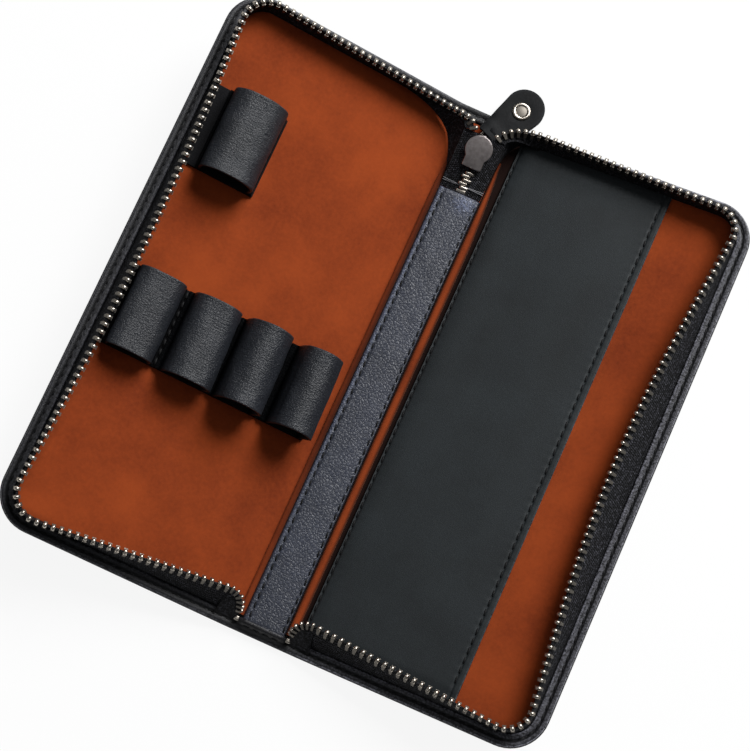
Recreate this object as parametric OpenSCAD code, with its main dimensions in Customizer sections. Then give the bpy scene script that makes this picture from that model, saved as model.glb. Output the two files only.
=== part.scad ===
// Zip-round case for writing instruments, lying open with both covers raised in a shallow V.
// +Y runs along the spine towards the zip slider, +X towards the pocket cover and +Z up.
// The origin is the middle of the spine's underside. On a cover, u runs out from the fold line
// and h stands up from the middle of the outer leather.

/* [Case] */
// Length of the case along its spine
case_len = 175; // [165:0.5:200]
// Width of a cover, from its fold line to its outer edge
cover_w = 76.6; // [75:0.1:90]
// Distance between the two fold lines
fold_gap = 21.5; // [21.3:0.1:26]
// Corner radius of the covers
corner_r = 12; // [10:0.5:16]
// Angle of the loop cover above the table
loop_tilt = 15.8; // [8:0.1:20]
// Angle of the pocket cover above the table
pocket_tilt = 12.1; // [8:0.1:20]

/* [Leather, board and lining] */
// Thickness of the outer leather
leather_t = 1.2; // [1:0.1:1.5]
// Thickness of the stiffening board
board_t = 1; // [0.7:0.1:1.4]
// Thickness of the suede lining
lining_t = 0.6; // [0.4:0.1:0.8]
// Width of the stitched hem round the edge
hem_w = 4.2; // [3.4:0.1:5]
// Thickness of the hem leather
hem_t = 0.9; // [0.7:0.1:1.2]
// Bare leather on each side of a fold line
flex_w = 1.2; // [1:0.1:1.6]
// Roll of slack lining along the pocket cover's fold
pocket_roll_r = 1.5; // [1:0.1:1.7]
// Roll of slack lining along the loop cover's fold
loop_roll_r = 0.9; // [0.6:0.1:1.4]

/* [Spine strip] */
// Width of the leather strip along the spine
strip_w = 13.3; // [11:0.1:13.4]
// Thickness of the leather strip
strip_t = 1.1; // [0.8:0.1:1.2]
// Distance from the strip's upper end to the case's end
strip_head = 27.3; // [27:0.1:31]

/* [Pocket] */
// Distance from the fold line to the pocket's sewn edge
pocket_start = 1.1; // [1:0.1:2]
// Width of the pocket panel
pocket_w = 48.8; // [40:0.1:54]
// Thickness of the pocket leather
pocket_t = 0.9; // [0.7:0.1:1]
// Slack between the pocket panel and the lining
pocket_gap = 0.6; // [0.4:0.1:0.7]
// Width of the pocket's sewn margins
pocket_seam_w = 3; // [2.5:0.1:4]

/* [Loops] */
// Thickness of the loop leather
loop_t = 0.9; // [0.7:0.1:1.1]
// Thickness of the base strips under the loops
base_t = 0.9; // [0.7:0.1:1.1]
// Length of the four loops of the band, along the pens
band_len = 25; // [20:0.5:30]
// Distance from the band's upper edge back to the middle of the case
band_y = 4; // [0:0.5:8]
// Distance from the fold line to the inner pen loop
inner_pen_u = 4.2; // [4:0.1:5]
// Outer width of the inner pen loop
inner_pen_w = 11.4; // [10:0.1:13]
// Outer height of the two pen loops
pen_loop_h = 13; // [11:0.1:13.2]
// Outer width of the outer pen loop
outer_pen_w = 12.8; // [11:0.1:13.5]
// Outer width of the pencil loop
pencil_w = 13.8; // [11:0.1:14]
// Outer height of the pencil loop
pencil_h = 8.8; // [7.5:0.1:11]
// Distance from the sharpener loop to the cover's outer edge
sharpener_edge = 8.9; // [8.8:0.1:9.3]
// Outer width of the sharpener loop
sharpener_w = 13.8; // [11:0.1:14]
// Gap before the outer pen loop; the three gaps share the width that is left over
outer_pen_gap = 4.8; // [4:0.1:6]
// Gap before the pencil loop
pencil_gap = 3.3; // [3:0.1:5]
// Gap before the sharpener loop
sharpener_gap = 3.6; // [3:0.1:5]
// Outer height of the sharpener loop
sharpener_h = 7.4; // [6.8:0.1:7.6]
// Distance from the eraser loop to the cover's outer edge
eraser_edge = 11.2; // [10.8:0.1:14.2]
// Outer width of the eraser loop
eraser_w = 16.4; // [14:0.1:16.6]
// Outer height of the eraser loop
eraser_h = 10.6; // [8:0.1:11]
// Length of the eraser loop, along the eraser
eraser_len = 26; // [20:0.5:28]
// Distance from the middle of the case up to the eraser loop
eraser_y = 29.5; // [26:0.5:34]

/* [Zip] */
// Thickness of the woven tape
tape_t = 0.6; // [0.5:0.05:0.7]
// Distance between neighbouring teeth of one row
tooth_pitch = 2.4; // [2.2:0.1:3]
// Length of a tooth along its row
tooth_len = 1.25; // [1:0.05:1.4]
// Thickness of a tooth across the tape
tooth_w = 2.6; // [2.2:0.1:2.8]
// Height of a tooth above the tape's edge
tooth_h = 1.1; // [0.9:0.1:1.2]
// Depth of a tooth's legs below the tape's edge
tooth_leg = 1.5; // [1.2:0.1:1.8]
// Distance from a row's highest tooth to the case's middle plane when shut
row_gap = 0.2; // [0.15:0.05:0.6]
// Distance from the outer edge to the loop cover's row at the spine's upper end
loop_row_head = 5.6; // [4.8:0.1:6.5]
// The same at the cover's corners
loop_row_corner = 3.6; // [3:0.1:4.5]
// The same at the middle of the cover's long side
loop_row_side = 6.4; // [5:0.1:6.6]
// The same at the spine's lower end
loop_row_foot = 10.2; // [8:0.1:10.5]
// Distance from the outer edge to the pocket cover's row at the spine's upper end
pocket_row_head = 2.7; // [2.4:0.1:4]
// The same at the cover's corners
pocket_row_corner = 4.6; // [4:0.1:5]
// The same at the middle of the cover's long side
pocket_row_side = 10.6; // [6:0.1:10.8]
// The same at the spine's lower end
pocket_row_foot = 9.9; // [8:0.1:10.5]

/* [Slider and pull] */
// Rise of the tucked-in end of the zip
ramp_slope = 22; // [21:0.5:24]
// Length of the tucked-in end of the zip
ramp_len = 18.8; // [18.6:0.1:19.5]
// Width of the tucked-in tapes together
ramp_w = 13.2; // [12:0.1:13.3]
// Length of the slider
slider_len = 10.4; // [10.2:0.1:11]
// Width of the slider's head
slider_head_w = 8.5; // [8:0.1:9]
// Width of the slider's tail
slider_tail_w = 6.2; // [6:0.1:6.6]
// Thickness of each slider plate
slider_plate_t = 0.8; // [0.7:0.05:0.9]
// Angle of the pull, clockwise from the spine
pull_yaw = 22.6; // [0:0.1:24]
// Downward slope of the leather tab
tab_slope = 3; // [2:0.5:4]
// Thickness of the link's wire
link_wire = 1.2; // [1:0.05:1.3]
// Length of the link between its two bars
link_len = 7; // [6.5:0.1:7.5]
// Width of the link between the middles of its sides
link_w = 6; // [5.8:0.1:6.6]
// Width of the leather tab
tab_w = 12.4; // [11:0.1:13]
// Width of the tab's straight end, beside the link
tab_foot_w = 11.2; // [10:0.1:12]
// Thickness of one layer of the tab's leather
tab_layer = 1.1; // [0.9:0.05:1.2]
// Distance from the link's outer bar to the centre of the tab's round end
tab_reach = 12.6; // [11.5:0.1:14]
// Distance from the centre of the round end back to the rivet
rivet_back = 1.5; // [1:0.1:2]
// Diameter of the rivet's cap
rivet_d = 5.8; // [5:0.1:6.4]

/* [Stitching] */
// Distance between stitches
stitch_pitch = 3; // [2.4:0.1:4]
// Length of a stitch
stitch_len = 2.2; // [1.6:0.1:2.3]
// Width of the thread
thread_w = 0.5; // [0.3:0.05:0.6]
// Height of the thread above the leather
thread_t = 0.2; // [0.15:0.05:0.25]

/* [Hidden] */
$fn = 48;
fit = 0.1;
lay = 0.3;
half_len = case_len / 2;
axis_z = leather_t / 2;
board_h = leather_t / 2;
lining_h = board_h + board_t;
floor_h = lining_h + lining_t;
base_h = floor_h + base_t;
wall_in = hem_w + tape_t / 2 + fit / 2;
tray_in = hem_w + tape_t + fit;
pocket_h = floor_h + pocket_gap;
knee_h = pocket_h + pocket_t + lay;
row_h = fold_gap / 2 - row_gap;
tape_top = row_h - tooth_h - 0.4 * (tooth_w / 2);
spine_half = fold_gap / 2 - floor_h - lay;
head_start = 7;
foot_start = 4.5;
stitch_in = 2.2;
loop_lean = [loop_row_head, loop_row_corner, loop_row_side, loop_row_foot];
pocket_lean = [pocket_row_head, pocket_row_corner, pocket_row_side, pocket_row_foot];
strip_z = leather_t + board_t + lining_t;
strip_end_y = half_len - strip_head;
ramp_foot = [0, strip_end_y + fit, strip_z + tape_t];
roll_short = 9;
ramp_end_half = 3.4;
slider_clear = 1.8;
tooth_clear = tooth_len / 2 + 0.03;
left_shift = 0.3;
right_shift = 0.8;
curl_pitch = 1.6;
curl_len = 0.9;
chain_half = 1.6;
chain_thick = 2.2;
stop_len = 1.1;
cavity = chain_thick / 2 + fit;
slider_out = ramp_len - slider_len;
lug_r = 1.9;
lug_hole_r = 1.1;
lug_inset = 5;
lug_w = 1.8;
lug_back = slider_len - lug_inset;
lug_drop = cavity + slider_plate_t + 1.2;
lug_v = slider_out + lug_back;
lug_pos = ramp_foot + [0, lug_v * cos(ramp_slope) + lug_drop * sin(ramp_slope),
    lug_v * sin(ramp_slope) - lug_drop * cos(ramp_slope)];
bar_play = 0.15;
eye_r = link_wire / 2 + bar_play;
rivet_post_r = 1;
rivet_cap_t = 0.6;

// ---- Frames ----

// Puts children that are drawn in a cover's own u, y and h in their place; side is -1 or 1
module on_cover(side, tilt) {
  translate([0, 0, axis_z]) mirror([side < 0 ? 1 : 0, 0, 0])
    translate([fold_gap / 2, 0, 0]) rotate([0, -tilt, 0]) children();
}

// The same for one point
function cover_point(tilt, p) =
  [fold_gap / 2 + p[0] * cos(tilt) - p[2] * sin(tilt), p[1],
   axis_z + p[0] * sin(tilt) + p[2] * cos(tilt)];

// Puts children that are drawn along +Y on the sloping end of the zip, v along its slope
module on_ramp(v) {
  translate(ramp_foot) rotate([ramp_slope, 0, 0]) translate([0, v, 0]) children();
}

// Puts children that are drawn from the slider's lug along +Y in the pull's place
module on_pull() {
  translate(lug_pos) rotate([0, 0, -pull_yaw]) children();
}

// Extrudes a drawing of x and z along Y, about the middle or shifted along
module along_y(len, shift = 0) {
  translate([0, shift, 0]) rotate([90, 0, 0]) linear_extrude(len, center = true) children();
}

// ---- Outlines ----

// A cover's outline: straight at the fold and round at the two outer corners
module plate_2d(inset, start) {
  r = corner_r - inset;
  end_u = cover_w - inset;
  half_y = half_len - inset;
  translate([start, -half_y]) square([end_u - r - start, 2 * half_y]);
  translate([start, r - half_y]) square([end_u - start, 2 * (half_y - r)]);
  for (s = [-1, 1]) translate([end_u - r, s * (half_y - r)]) circle(r);
}

module plate(inset, start, h, t) {
  translate([0, 0, h]) linear_extrude(t) plate_2d(inset, start);
}

// A loop's cross-section: flat feet, straight sides and a rounded crown
module arch_2d(w, h, r) {
  square([w, h - r]);
  translate([r, 0]) square([w - 2 * r, h]);
  for (x = [r, w - r]) translate([x, h - r]) circle(r);
}

module loop_2d(w, h) {
  r = min(0.46 * w, 0.46 * h);
  difference() {
    arch_2d(w, h, r);
    translate([loop_t, -1]) arch_2d(w - 2 * loop_t, h - loop_t + 1, r - loop_t);
  }
}

// ---- The line that a cover's zip follows ----

// k runs 0 to 1 along the head edge, then a corner, the outer side, a corner and the foot edge.
// Gives u, y and the outward direction of a line that keeps its inset from the outer edge.
function rim(k, inset) =
  let(r = corner_r - inset, uc = cover_w - corner_r, yc = half_len - corner_r)
  k < 1 ? [head_start + (uc - head_start) * k, half_len - inset, 0, 1]
  : k < 2 ? let(a = 90 * (2 - k)) [uc + r * cos(a), yc + r * sin(a), cos(a), sin(a)]
  : k < 3 ? [cover_w - inset, yc * (5 - 2 * k), 1, 0]
  : k < 4 ? let(a = -90 * (k - 3)) [uc + r * cos(a), -yc + r * sin(a), cos(a), sin(a)]
  : [uc - (uc - foot_start) * (k - 4), inset - half_len, 0, -1];

// The zip row's inset at k, between its values at the head, the corners, the side and the foot
function row_inset(k, lean) =
  k < 1 ? lean[0] + (lean[1] - lean[0]) * k
  : k < 2 ? lean[1]
  : k < 3 ? lean[1] + (lean[2] - lean[1]) * sin(180 * (k - 2))
  : k < 4 ? lean[1]
  : lean[1] + (lean[3] - lean[1]) * (k - 4);

function row_point(k, lean) =
  let(p = rim(k, lean[1]), e = row_inset(k, lean) - lean[1])
  [p[0] - p[2] * e, p[1] - p[3] * e];

// Lengths of the five stretches at an inset, and k at a distance along them
function rim_parts(inset) =
  let(arc = PI / 2 * (corner_r - inset))
  [cover_w - corner_r - head_start, arc, case_len - 2 * corner_r, arc,
   cover_w - corner_r - foot_start];
function total(v, i = 0) = i < len(v) ? v[i] + total(v, i + 1) : 0;
function rim_k(s, parts, i = 0) =
  i == len(parts) - 1 || s < parts[i] ? i + s / parts[i] : rim_k(s - parts[i], parts, i + 1);

// ---- Swept solids ----

function unit(v) = v / norm(v);
function bezier(p, t) =
  pow(1 - t, 3) * p[0] + 3 * t * pow(1 - t, 2) * p[1] + 3 * t * t * (1 - t) * p[2]
  + pow(t, 3) * p[3];

// A closed solid through a list of rings that have equally many points
module swept(rings) {
  m = len(rings[0]);
  n = len(rings);
  points = [for (ring = rings) for (p = ring) p];
  sides = [for (i = [0:n - 2]) for (j = [0:m - 1]) let(a = i * m + j, b = i * m + (j + 1) % m)
    each [[a, b, b + m], [a, b + m, a + m]]];
  first = [for (j = [m - 1:-1:0]) j];
  last = [for (j = [0:m - 1]) (n - 1) * m + j];
  polyhedron(points, concat(sides, [first, last]), convexity = 8);
}

// The wall of tape that stands on a cover: upright at its foot, then leaning in to the row
module wall_tape(lean) {
  ks = [for (i = [0:5]) i / 6, each [for (i = [0:5]) 1 + i / 6], each [for (i = [0:11]) 2 + i / 12],
    each [for (i = [0:5]) 3 + i / 6], each [for (i = [0:6]) 4 + i / 6]];
  swept([for (k = ks)
    let(foot = rim(k, wall_in), top = row_point(k, lean), n = [foot[2], foot[3], 0] * tape_t / 2,
        a = [foot[0], foot[1], board_h], b = [foot[0], foot[1], knee_h],
        c = [top[0], top[1], tape_top])
    [a - n, b - n, c - n, c + n, b + n, a + n]]);
}

// One tooth astride the tape's edge, drawn with x across the tape and y out of its edge
module tooth(len) {
  w = tooth_w / 2;
  slot = tape_t / 2 + fit / 2;
  bevel = 0.5;
  translate([0, 0, -len / 2]) linear_extrude(len)
    polygon([[-w, -tooth_leg], [-slot, -tooth_leg], [-slot, 0], [slot, 0], [slot, -tooth_leg],
      [w, -tooth_leg], [w, tooth_h - bevel], [w - bevel, tooth_h], [bevel - w, tooth_h],
      [-w, tooth_h - bevel]]);
}

// Places a tooth at a point of the tape's edge, from the row's direction and the tape's
module tooth_at(p, along, up, len = tooth_len) {
  z = unit(along);
  x = unit(cross(up, z));
  y = cross(z, x);
  multmatrix([[x[0], y[0], z[0], p[0]], [x[1], y[1], z[1], p[1]], [x[2], y[2], z[2], p[2]]])
    tooth(len);
}

// Number of the last tooth of a wall, and its distance from the wall's end
function last_tooth(parts, shift) = floor((total(parts) - tooth_clear) / tooth_pitch - shift);
function last_gap(parts, shift) = total(parts) - (last_tooth(parts, shift) + shift) * tooth_pitch;

// The teeth along a cover's tape; shift staggers the two rows
module wall_teeth(lean, shift) {
  parts = rim_parts(lean[1]);
  for (i = [0:last_tooth(parts, shift)]) {
    k = rim_k((i + shift) * tooth_pitch, parts);
    foot = rim(k, wall_in);
    top = row_point(k, lean);
    tooth_at([top[0], top[1], tape_top], [-foot[3], foot[2], 0],
      [top[0] - foot[0], top[1] - foot[1], tape_top - knee_h]);
  }
}

// ---- The ends of the tape, which bend when a cover folds ----

// Control points of the row's edge and of the sewn edge, at the head and at the foot
function head_row(tilt, lean) =
  let(e = cover_point(tilt, concat(row_point(0, lean), [tape_top])))
  [ramp_tip(ramp_end_half), ramp_tip(ramp_end_half) + [1.6, 3.6, 0.8], e - [6.5, 0.4, 0.9], e];
function head_seam(tilt) =
  let(f = rim(0, wall_in), e = cover_point(tilt, [f[0], f[1], knee_h]))
  [ramp_tip(ramp_w / 2), ramp_tip(ramp_w / 2) + [1, 3, 0], e - [4, 0.6, -1.6], e];
function foot_row(tilt, lean) =
  let(s = cover_point(tilt, concat(row_point(5, lean), [tape_top])))
  [s, s - [4.6, 0, 0.6], foot_end() + [-0.4, 2.6, 5.2], foot_end()];
function foot_seam(tilt) =
  let(f = rim(5, wall_in), s = cover_point(tilt, [f[0], f[1], knee_h]))
  [s, s - [1.4, 0, 0.3], foot_end() + [1.6, -1, 0.2], foot_end() + [0.9, -1.1, -0.3]];
function ramp_tip(x) =
  ramp_foot + [x, (ramp_len + fit) * cos(ramp_slope), (ramp_len + fit) * sin(ramp_slope)];
function foot_end() = [spine_half, foot_start - half_len, strip_z + 1.8];

module end_tape(row, seam) {
  swept([for (i = [0:8])
    let(t = i / 8, a = bezier(row, t), b = bezier(seam, t),
        along = bezier(row, min(1, t + 0.05)) - bezier(row, max(0, t - 0.05)),
        n = unit(cross(along, a - b)) * tape_t / 2)
    [b + n, a + n, a - n, b - n]]);
}

// Evenly spaced teeth along a bending end, with a clear stretch before the first and after the last
module end_teeth(row, seam, from, margin, pitch, len) {
  steps = 24;
  parts = [for (i = [1:steps]) norm(bezier(row, i / steps) - bezier(row, (i - 1) / steps))];
  reach = total(parts) - margin - from;
  count = round(reach / pitch);
  for (i = [0:count]) {
    t = rim_k(from + i * reach / count, parts) / steps;
    a = bezier(row, t);
    tooth_at(a, bezier(row, min(1, t + 0.03)) - bezier(row, max(0, t - 0.03)),
      a - bezier(seam, t), len);
  }
}

module both_tape_ends(tilt, lean) {
  end_tape(head_row(tilt, lean), head_seam(tilt));
  end_tape(foot_row(tilt, lean), foot_seam(tilt));
}

module both_end_teeth(tilt, lean, shift) {
  gap = last_gap(rim_parts(lean[1]), shift);
  end_teeth(head_row(tilt, lean), head_seam(tilt), slider_clear,
    max(tooth_clear, (1 - shift) * tooth_pitch), tooth_pitch, tooth_len);
  end_teeth(foot_row(tilt, lean), foot_seam(tilt), max(tooth_clear, tooth_pitch - gap),
    tooth_pitch, curl_pitch, curl_len);
}

module top_stop() {
  translate(foot_end() - [0, 1.1, 1.35]) rotate([-35, 0, 0])
    cube([2 * (fold_gap / 2 - board_h - hem_t - spine_half) - fit, 1.2, 1.4], center = true);
}

// ---- Stitching ----

module stitch() {
  translate([-thread_w / 2, -stitch_len / 2, 0]) cube([thread_w, stitch_len, thread_t]);
}

// A straight row of stitches along Y from the lower to the upper end
module stitch_row(low, high) {
  count = floor((high - low) / stitch_pitch);
  margin = (high - low - (count - 1) * stitch_pitch) / 2;
  for (i = [0:count - 1]) translate([0, low + margin + i * stitch_pitch, 0]) stitch();
}

module hem_stitches() {
  parts = rim_parts(stitch_in);
  count = floor(total(parts) / stitch_pitch);
  for (i = [0:count - 1]) {
    p = rim(rim_k((i + 0.5) * stitch_pitch, parts), stitch_in);
    translate([p[0], p[1], board_h + hem_t]) rotate([0, 0, atan2(-p[2], p[3]) + 90]) stitch();
  }
}

// ---- Spine ----

module spine_leather() {
  color([0.1, 0.1, 0.11])
    translate([0, 0, leather_t / 2]) cube([fold_gap - 2 * flex_w, case_len, leather_t], center = true);
}

module spine_board() {
  color([0.45, 0.4, 0.33]) translate([0, 0, leather_t + board_t / 2])
    cube([strip_w, case_len - 2 * tray_in, board_t], center = true);
}

module spine_lining() {
  color([0.55, 0.24, 0.11]) translate([0, 0, leather_t + board_t + lining_t / 2])
    cube([strip_w, case_len - 2 * tray_in, lining_t], center = true);
}

module spine_hems() {
  color([0.12, 0.12, 0.13]) for (s = [-1, 1])
    translate([0, s * (half_len - hem_w / 2), leather_t + hem_t / 2])
      cube([2 * spine_half, hem_w, hem_t], center = true);
}

module spine_strip() {
  low = tray_in - half_len;
  color([0.16, 0.16, 0.18]) translate([-strip_w / 2, low, strip_z])
    cube([strip_w, strip_end_y - low, strip_t]);
}

module strip_stitching() {
  inset = 1.2;
  color([0.05, 0.05, 0.05]) for (s = [-1, 1])
    translate([s * (strip_w / 2 - inset), 0, strip_z + strip_t])
      stitch_row(tray_in + inset - half_len, strip_end_y - inset);
}

// ---- Tucked-in end of the zip ----

module tucked_tape() {
  color([0.08, 0.08, 0.08]) on_ramp(0) for (s = [-1, 1])
    translate([s * (chain_half + ramp_w / 2) / 2, ramp_len / 2, 0])
      cube([ramp_w / 2 - chain_half, ramp_len, tape_t], center = true);
}

module closed_chain() {
  reach = chain_half + 0.9;
  step = tooth_pitch / 2;
  first = stop_len + 2 * fit;
  count = floor((slider_out - first) / step);
  color([0.72, 0.66, 0.58]) on_ramp(first) for (i = [0:count - 1])
    mirror([i % 2, 0, 0]) translate([-chain_half, i * step, -chain_thick / 2])
      cube([reach, step - fit / 2, chain_thick]);
}

module bottom_stop() {
  color([0.72, 0.66, 0.58]) on_ramp(fit)
    translate([-chain_half, 0, -tape_t]) cube([2 * chain_half, stop_len, 2 * tape_t]);
}

// ---- Covers ----

module cover_leather() {
  plate(0, flex_w, -leather_t / 2, leather_t);
}

module cover_hem() {
  translate([0, 0, board_h]) linear_extrude(hem_t) difference() {
    plate_2d(0, flex_w);
    plate_2d(hem_w, 0);
  }
}

// Outer leather and hem of one fold, drawn about its fold line at rest
module fold_leather(tilt) {
  along_y(case_len) {
    translate([-flex_w, -leather_t / 2]) square([flex_w, leather_t]);
    circle(leather_t / 2);
    rotate(tilt) translate([0, -leather_t / 2]) square([flex_w, leather_t]);
  }
  for (s = [-1, 1]) translate([0, s * (half_len - hem_w / 2), 0]) along_y(hem_w) {
    translate([spine_half - fold_gap / 2, board_h]) square([fold_gap / 2 - spine_half, hem_t]);
    rotate(tilt) translate([0, board_h - lay]) square([flex_w, hem_t + lay]);
  }
}

// Slack lining of one fold, rolled up beside the strip
module fold_lining(tilt, roll_r) {
  inner = (fold_gap - strip_w) / 2 - fit / 2;
  along_y(case_len - 2 * tray_in) {
    translate([-inner, board_h]) square([inner, floor_h - board_h]);
    rotate(tilt) translate([0, board_h]) square([flex_w, floor_h - board_h]);
  }
  along_y(case_len - 2 * tray_in - roll_short, -roll_short / 2)
    translate([roll_r - inner, floor_h]) circle(roll_r);
}

module left_cover_leather() { color([0.1, 0.1, 0.11]) on_cover(-1, loop_tilt) cover_leather(); }
module left_cover_board() {
  color([0.45, 0.4, 0.33]) on_cover(-1, loop_tilt) plate(tray_in, flex_w, board_h, board_t);
}
module left_cover_lining() {
  color([0.55, 0.24, 0.11]) on_cover(-1, loop_tilt) plate(tray_in, flex_w, lining_h, lining_t);
}
module left_hem() { color([0.12, 0.12, 0.13]) on_cover(-1, loop_tilt) cover_hem(); }
module left_hem_stitching() { color([0.05, 0.05, 0.05]) on_cover(-1, loop_tilt) hem_stitches(); }
module left_zip_tape() { color([0.08, 0.08, 0.08]) on_cover(-1, loop_tilt) wall_tape(loop_lean); }
module left_zip_teeth() {
  color([0.72, 0.66, 0.58]) on_cover(-1, loop_tilt) wall_teeth(loop_lean, left_shift);
}
module left_top_stop() { color([0.72, 0.66, 0.58]) mirror([1, 0, 0]) top_stop(); }
module left_fold_leather() {
  color([0.1, 0.1, 0.11]) on_cover(-1, 0) fold_leather(loop_tilt);
}
module left_fold_lining() {
  color([0.55, 0.24, 0.11]) on_cover(-1, 0) fold_lining(loop_tilt, loop_roll_r);
}
module left_tape_ends() {
  color([0.08, 0.08, 0.08]) mirror([1, 0, 0]) both_tape_ends(loop_tilt, loop_lean);
}
module left_end_teeth() {
  color([0.72, 0.66, 0.58]) mirror([1, 0, 0]) both_end_teeth(loop_tilt, loop_lean, left_shift);
}

module right_cover_leather() { color([0.1, 0.1, 0.11]) on_cover(1, pocket_tilt) cover_leather(); }
module right_cover_board() {
  color([0.45, 0.4, 0.33]) on_cover(1, pocket_tilt) plate(tray_in, flex_w, board_h, board_t);
}
module right_cover_lining() {
  color([0.55, 0.24, 0.11]) on_cover(1, pocket_tilt) plate(tray_in, flex_w, lining_h, lining_t);
}
module right_hem() { color([0.12, 0.12, 0.13]) on_cover(1, pocket_tilt) cover_hem(); }
module right_hem_stitching() { color([0.05, 0.05, 0.05]) on_cover(1, pocket_tilt) hem_stitches(); }
module right_zip_tape() { color([0.08, 0.08, 0.08]) on_cover(1, pocket_tilt) wall_tape(pocket_lean); }
module right_zip_teeth() {
  color([0.72, 0.66, 0.58]) on_cover(1, pocket_tilt) wall_teeth(pocket_lean, right_shift);
}
module right_top_stop() { color([0.72, 0.66, 0.58]) top_stop(); }
module right_fold_leather() {
  color([0.1, 0.1, 0.11]) on_cover(1, 0) fold_leather(pocket_tilt);
}
module right_fold_lining() {
  color([0.55, 0.24, 0.11]) on_cover(1, 0) fold_lining(pocket_tilt, pocket_roll_r);
}
module right_tape_ends() { color([0.08, 0.08, 0.08]) both_tape_ends(pocket_tilt, pocket_lean); }
module right_end_teeth() {
  color([0.72, 0.66, 0.58]) both_end_teeth(pocket_tilt, pocket_lean, right_shift);
}

// ---- Loops on the left cover ----

module pen_loop(u, w, h, low, length) {
  color([0.17, 0.18, 0.2]) on_cover(-1, loop_tilt)
    translate([u, low + length / 2, base_h]) along_y(length) loop_2d(w, h);
}

module base_strip(from, low, length) {
  color([0.14, 0.14, 0.16]) on_cover(-1, loop_tilt) translate([from, low, floor_h])
    cube([cover_w - tray_in - from, length, base_t]);
}

inner_pen_end = inner_pen_u + inner_pen_w;
sharpener_u = cover_w - sharpener_edge - sharpener_w;
eraser_u = cover_w - eraser_edge - eraser_w;
gap_unit = (sharpener_u - inner_pen_end - outer_pen_w - pencil_w)
  / (outer_pen_gap + pencil_gap + sharpener_gap);
outer_pen_u = inner_pen_end + gap_unit * outer_pen_gap;
pencil_u = sharpener_u - gap_unit * sharpener_gap - pencil_w;
band_low = -band_y - band_len;
band_edge = inner_pen_u - 1.8;
module band_base() { base_strip(band_edge, band_low, band_len); }
module eraser_base() { base_strip(eraser_u - 2, eraser_y, eraser_len); }
module inner_pen_loop() { pen_loop(inner_pen_u, inner_pen_w, pen_loop_h, band_low, band_len); }
module outer_pen_loop() { pen_loop(outer_pen_u, outer_pen_w, pen_loop_h, band_low, band_len); }
module pencil_loop() { pen_loop(pencil_u, pencil_w, pencil_h, band_low, band_len); }
module sharpener_loop() { pen_loop(sharpener_u, sharpener_w, sharpener_h, band_low, band_len); }
module eraser_loop() { pen_loop(eraser_u, eraser_w, eraser_h, eraser_y, eraser_len); }

// Rows of stitches in the base strips, beside each loop's feet
module loop_stitching() {
  off = 0.8;
  color([0.05, 0.05, 0.05]) on_cover(-1, loop_tilt) translate([0, 0, base_h]) {
    for (u = [inner_pen_u - off, inner_pen_end + off, outer_pen_u - off,
        outer_pen_u + outer_pen_w + off, pencil_u - off, pencil_u + pencil_w + off,
        sharpener_u - off])
      translate([u, 0, 0]) stitch_row(band_low + off, band_low + band_len - off);
    translate([eraser_u - off, 0, 0]) stitch_row(eraser_y + off, eraser_y + eraser_len - off);
  }
}

// ---- Pocket on the right cover ----

module pocket_panel() {
  end_y = half_len - tray_in;
  color([0.15, 0.16, 0.17]) on_cover(1, pocket_tilt) {
    translate([pocket_start, -end_y, pocket_h]) cube([pocket_w, 2 * end_y, pocket_t]);
    translate([pocket_start, -end_y, floor_h]) cube([pocket_seam_w, 2 * end_y, pocket_gap]);
    for (y = [-end_y, end_y - pocket_seam_w])
      translate([pocket_start, y, floor_h]) cube([pocket_w, pocket_seam_w, pocket_gap]);
  }
}

module pocket_stitching() {
  seam_in = 1;
  trim_in = 2.1;
  end_y = half_len - tray_in - 2;
  color([0.05, 0.05, 0.05]) on_cover(1, pocket_tilt) translate([0, 0, pocket_h + pocket_t])
    for (u = [pocket_start + seam_in, pocket_start + pocket_w - trim_in])
      translate([u, 0, 0]) stitch_row(-end_y, end_y);
}

// ---- Slider and pull ----

module slider_plate_2d() {
  head_r = slider_head_w / 2;
  translate([0, slider_len - head_r]) circle(head_r);
  translate([-slider_tail_w / 2, 0]) square([slider_tail_w, slider_len - head_r]);
}

module slider() {
  wall = 0.55;
  lip = cavity - tape_t / 2 - 0.15;
  color([0.6, 0.58, 0.56]) on_ramp(slider_out) difference() {
    union() {
      for (s = [-1, 1]) {
        translate([0, 0, s * (cavity + slider_plate_t / 2)])
          linear_extrude(slider_plate_t, center = true) slider_plate_2d();
        for (x = [-1, 1])
          translate([x * (slider_tail_w - wall) / 2, lug_back / 2, s * (cavity - lip / 2)])
            cube([wall, lug_back, lip], center = true);
      }
      translate([0, slider_len - 2.6, 0]) cylinder(h = 2 * cavity + fit, r = 1, center = true);
      translate([0, lug_back, -lug_drop]) rotate([0, 90, 0])
        cylinder(h = lug_w, r = lug_r, center = true);
    }
    translate([0, lug_back, -lug_drop]) rotate([0, 90, 0])
      cylinder(h = 2 * lug_w, r = lug_hole_r, center = true);
    translate([0, lug_back, 0]) cube([lug_w + 0.4, 2 * lug_r + 1, 2 * cavity], center = true);
  }
}

module wire(a, b) {
  v = b - a;
  translate(a) rotate([0, acos(v[2] / norm(v)), atan2(v[1], v[0])])
    cylinder(h = norm(v), r = link_wire / 2);
}

module pull_link() {
  x = link_w / 2;
  corners = [[-x, 0, 0], [x, 0, 0], [x, link_len, 0], [-x, link_len, 0]];
  color([0.72, 0.7, 0.68]) on_pull() for (i = [0:3]) {
    wire(corners[i], corners[(i + 1) % 4]);
    translate(corners[i]) sphere(link_wire / 2);
  }
}

// Puts children drawn from the link's outer bar along +Y in the tab's place
module on_tab() {
  on_pull() translate([0, link_len, 0]) rotate([-tab_slope, 0, 0]) children();
}

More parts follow.
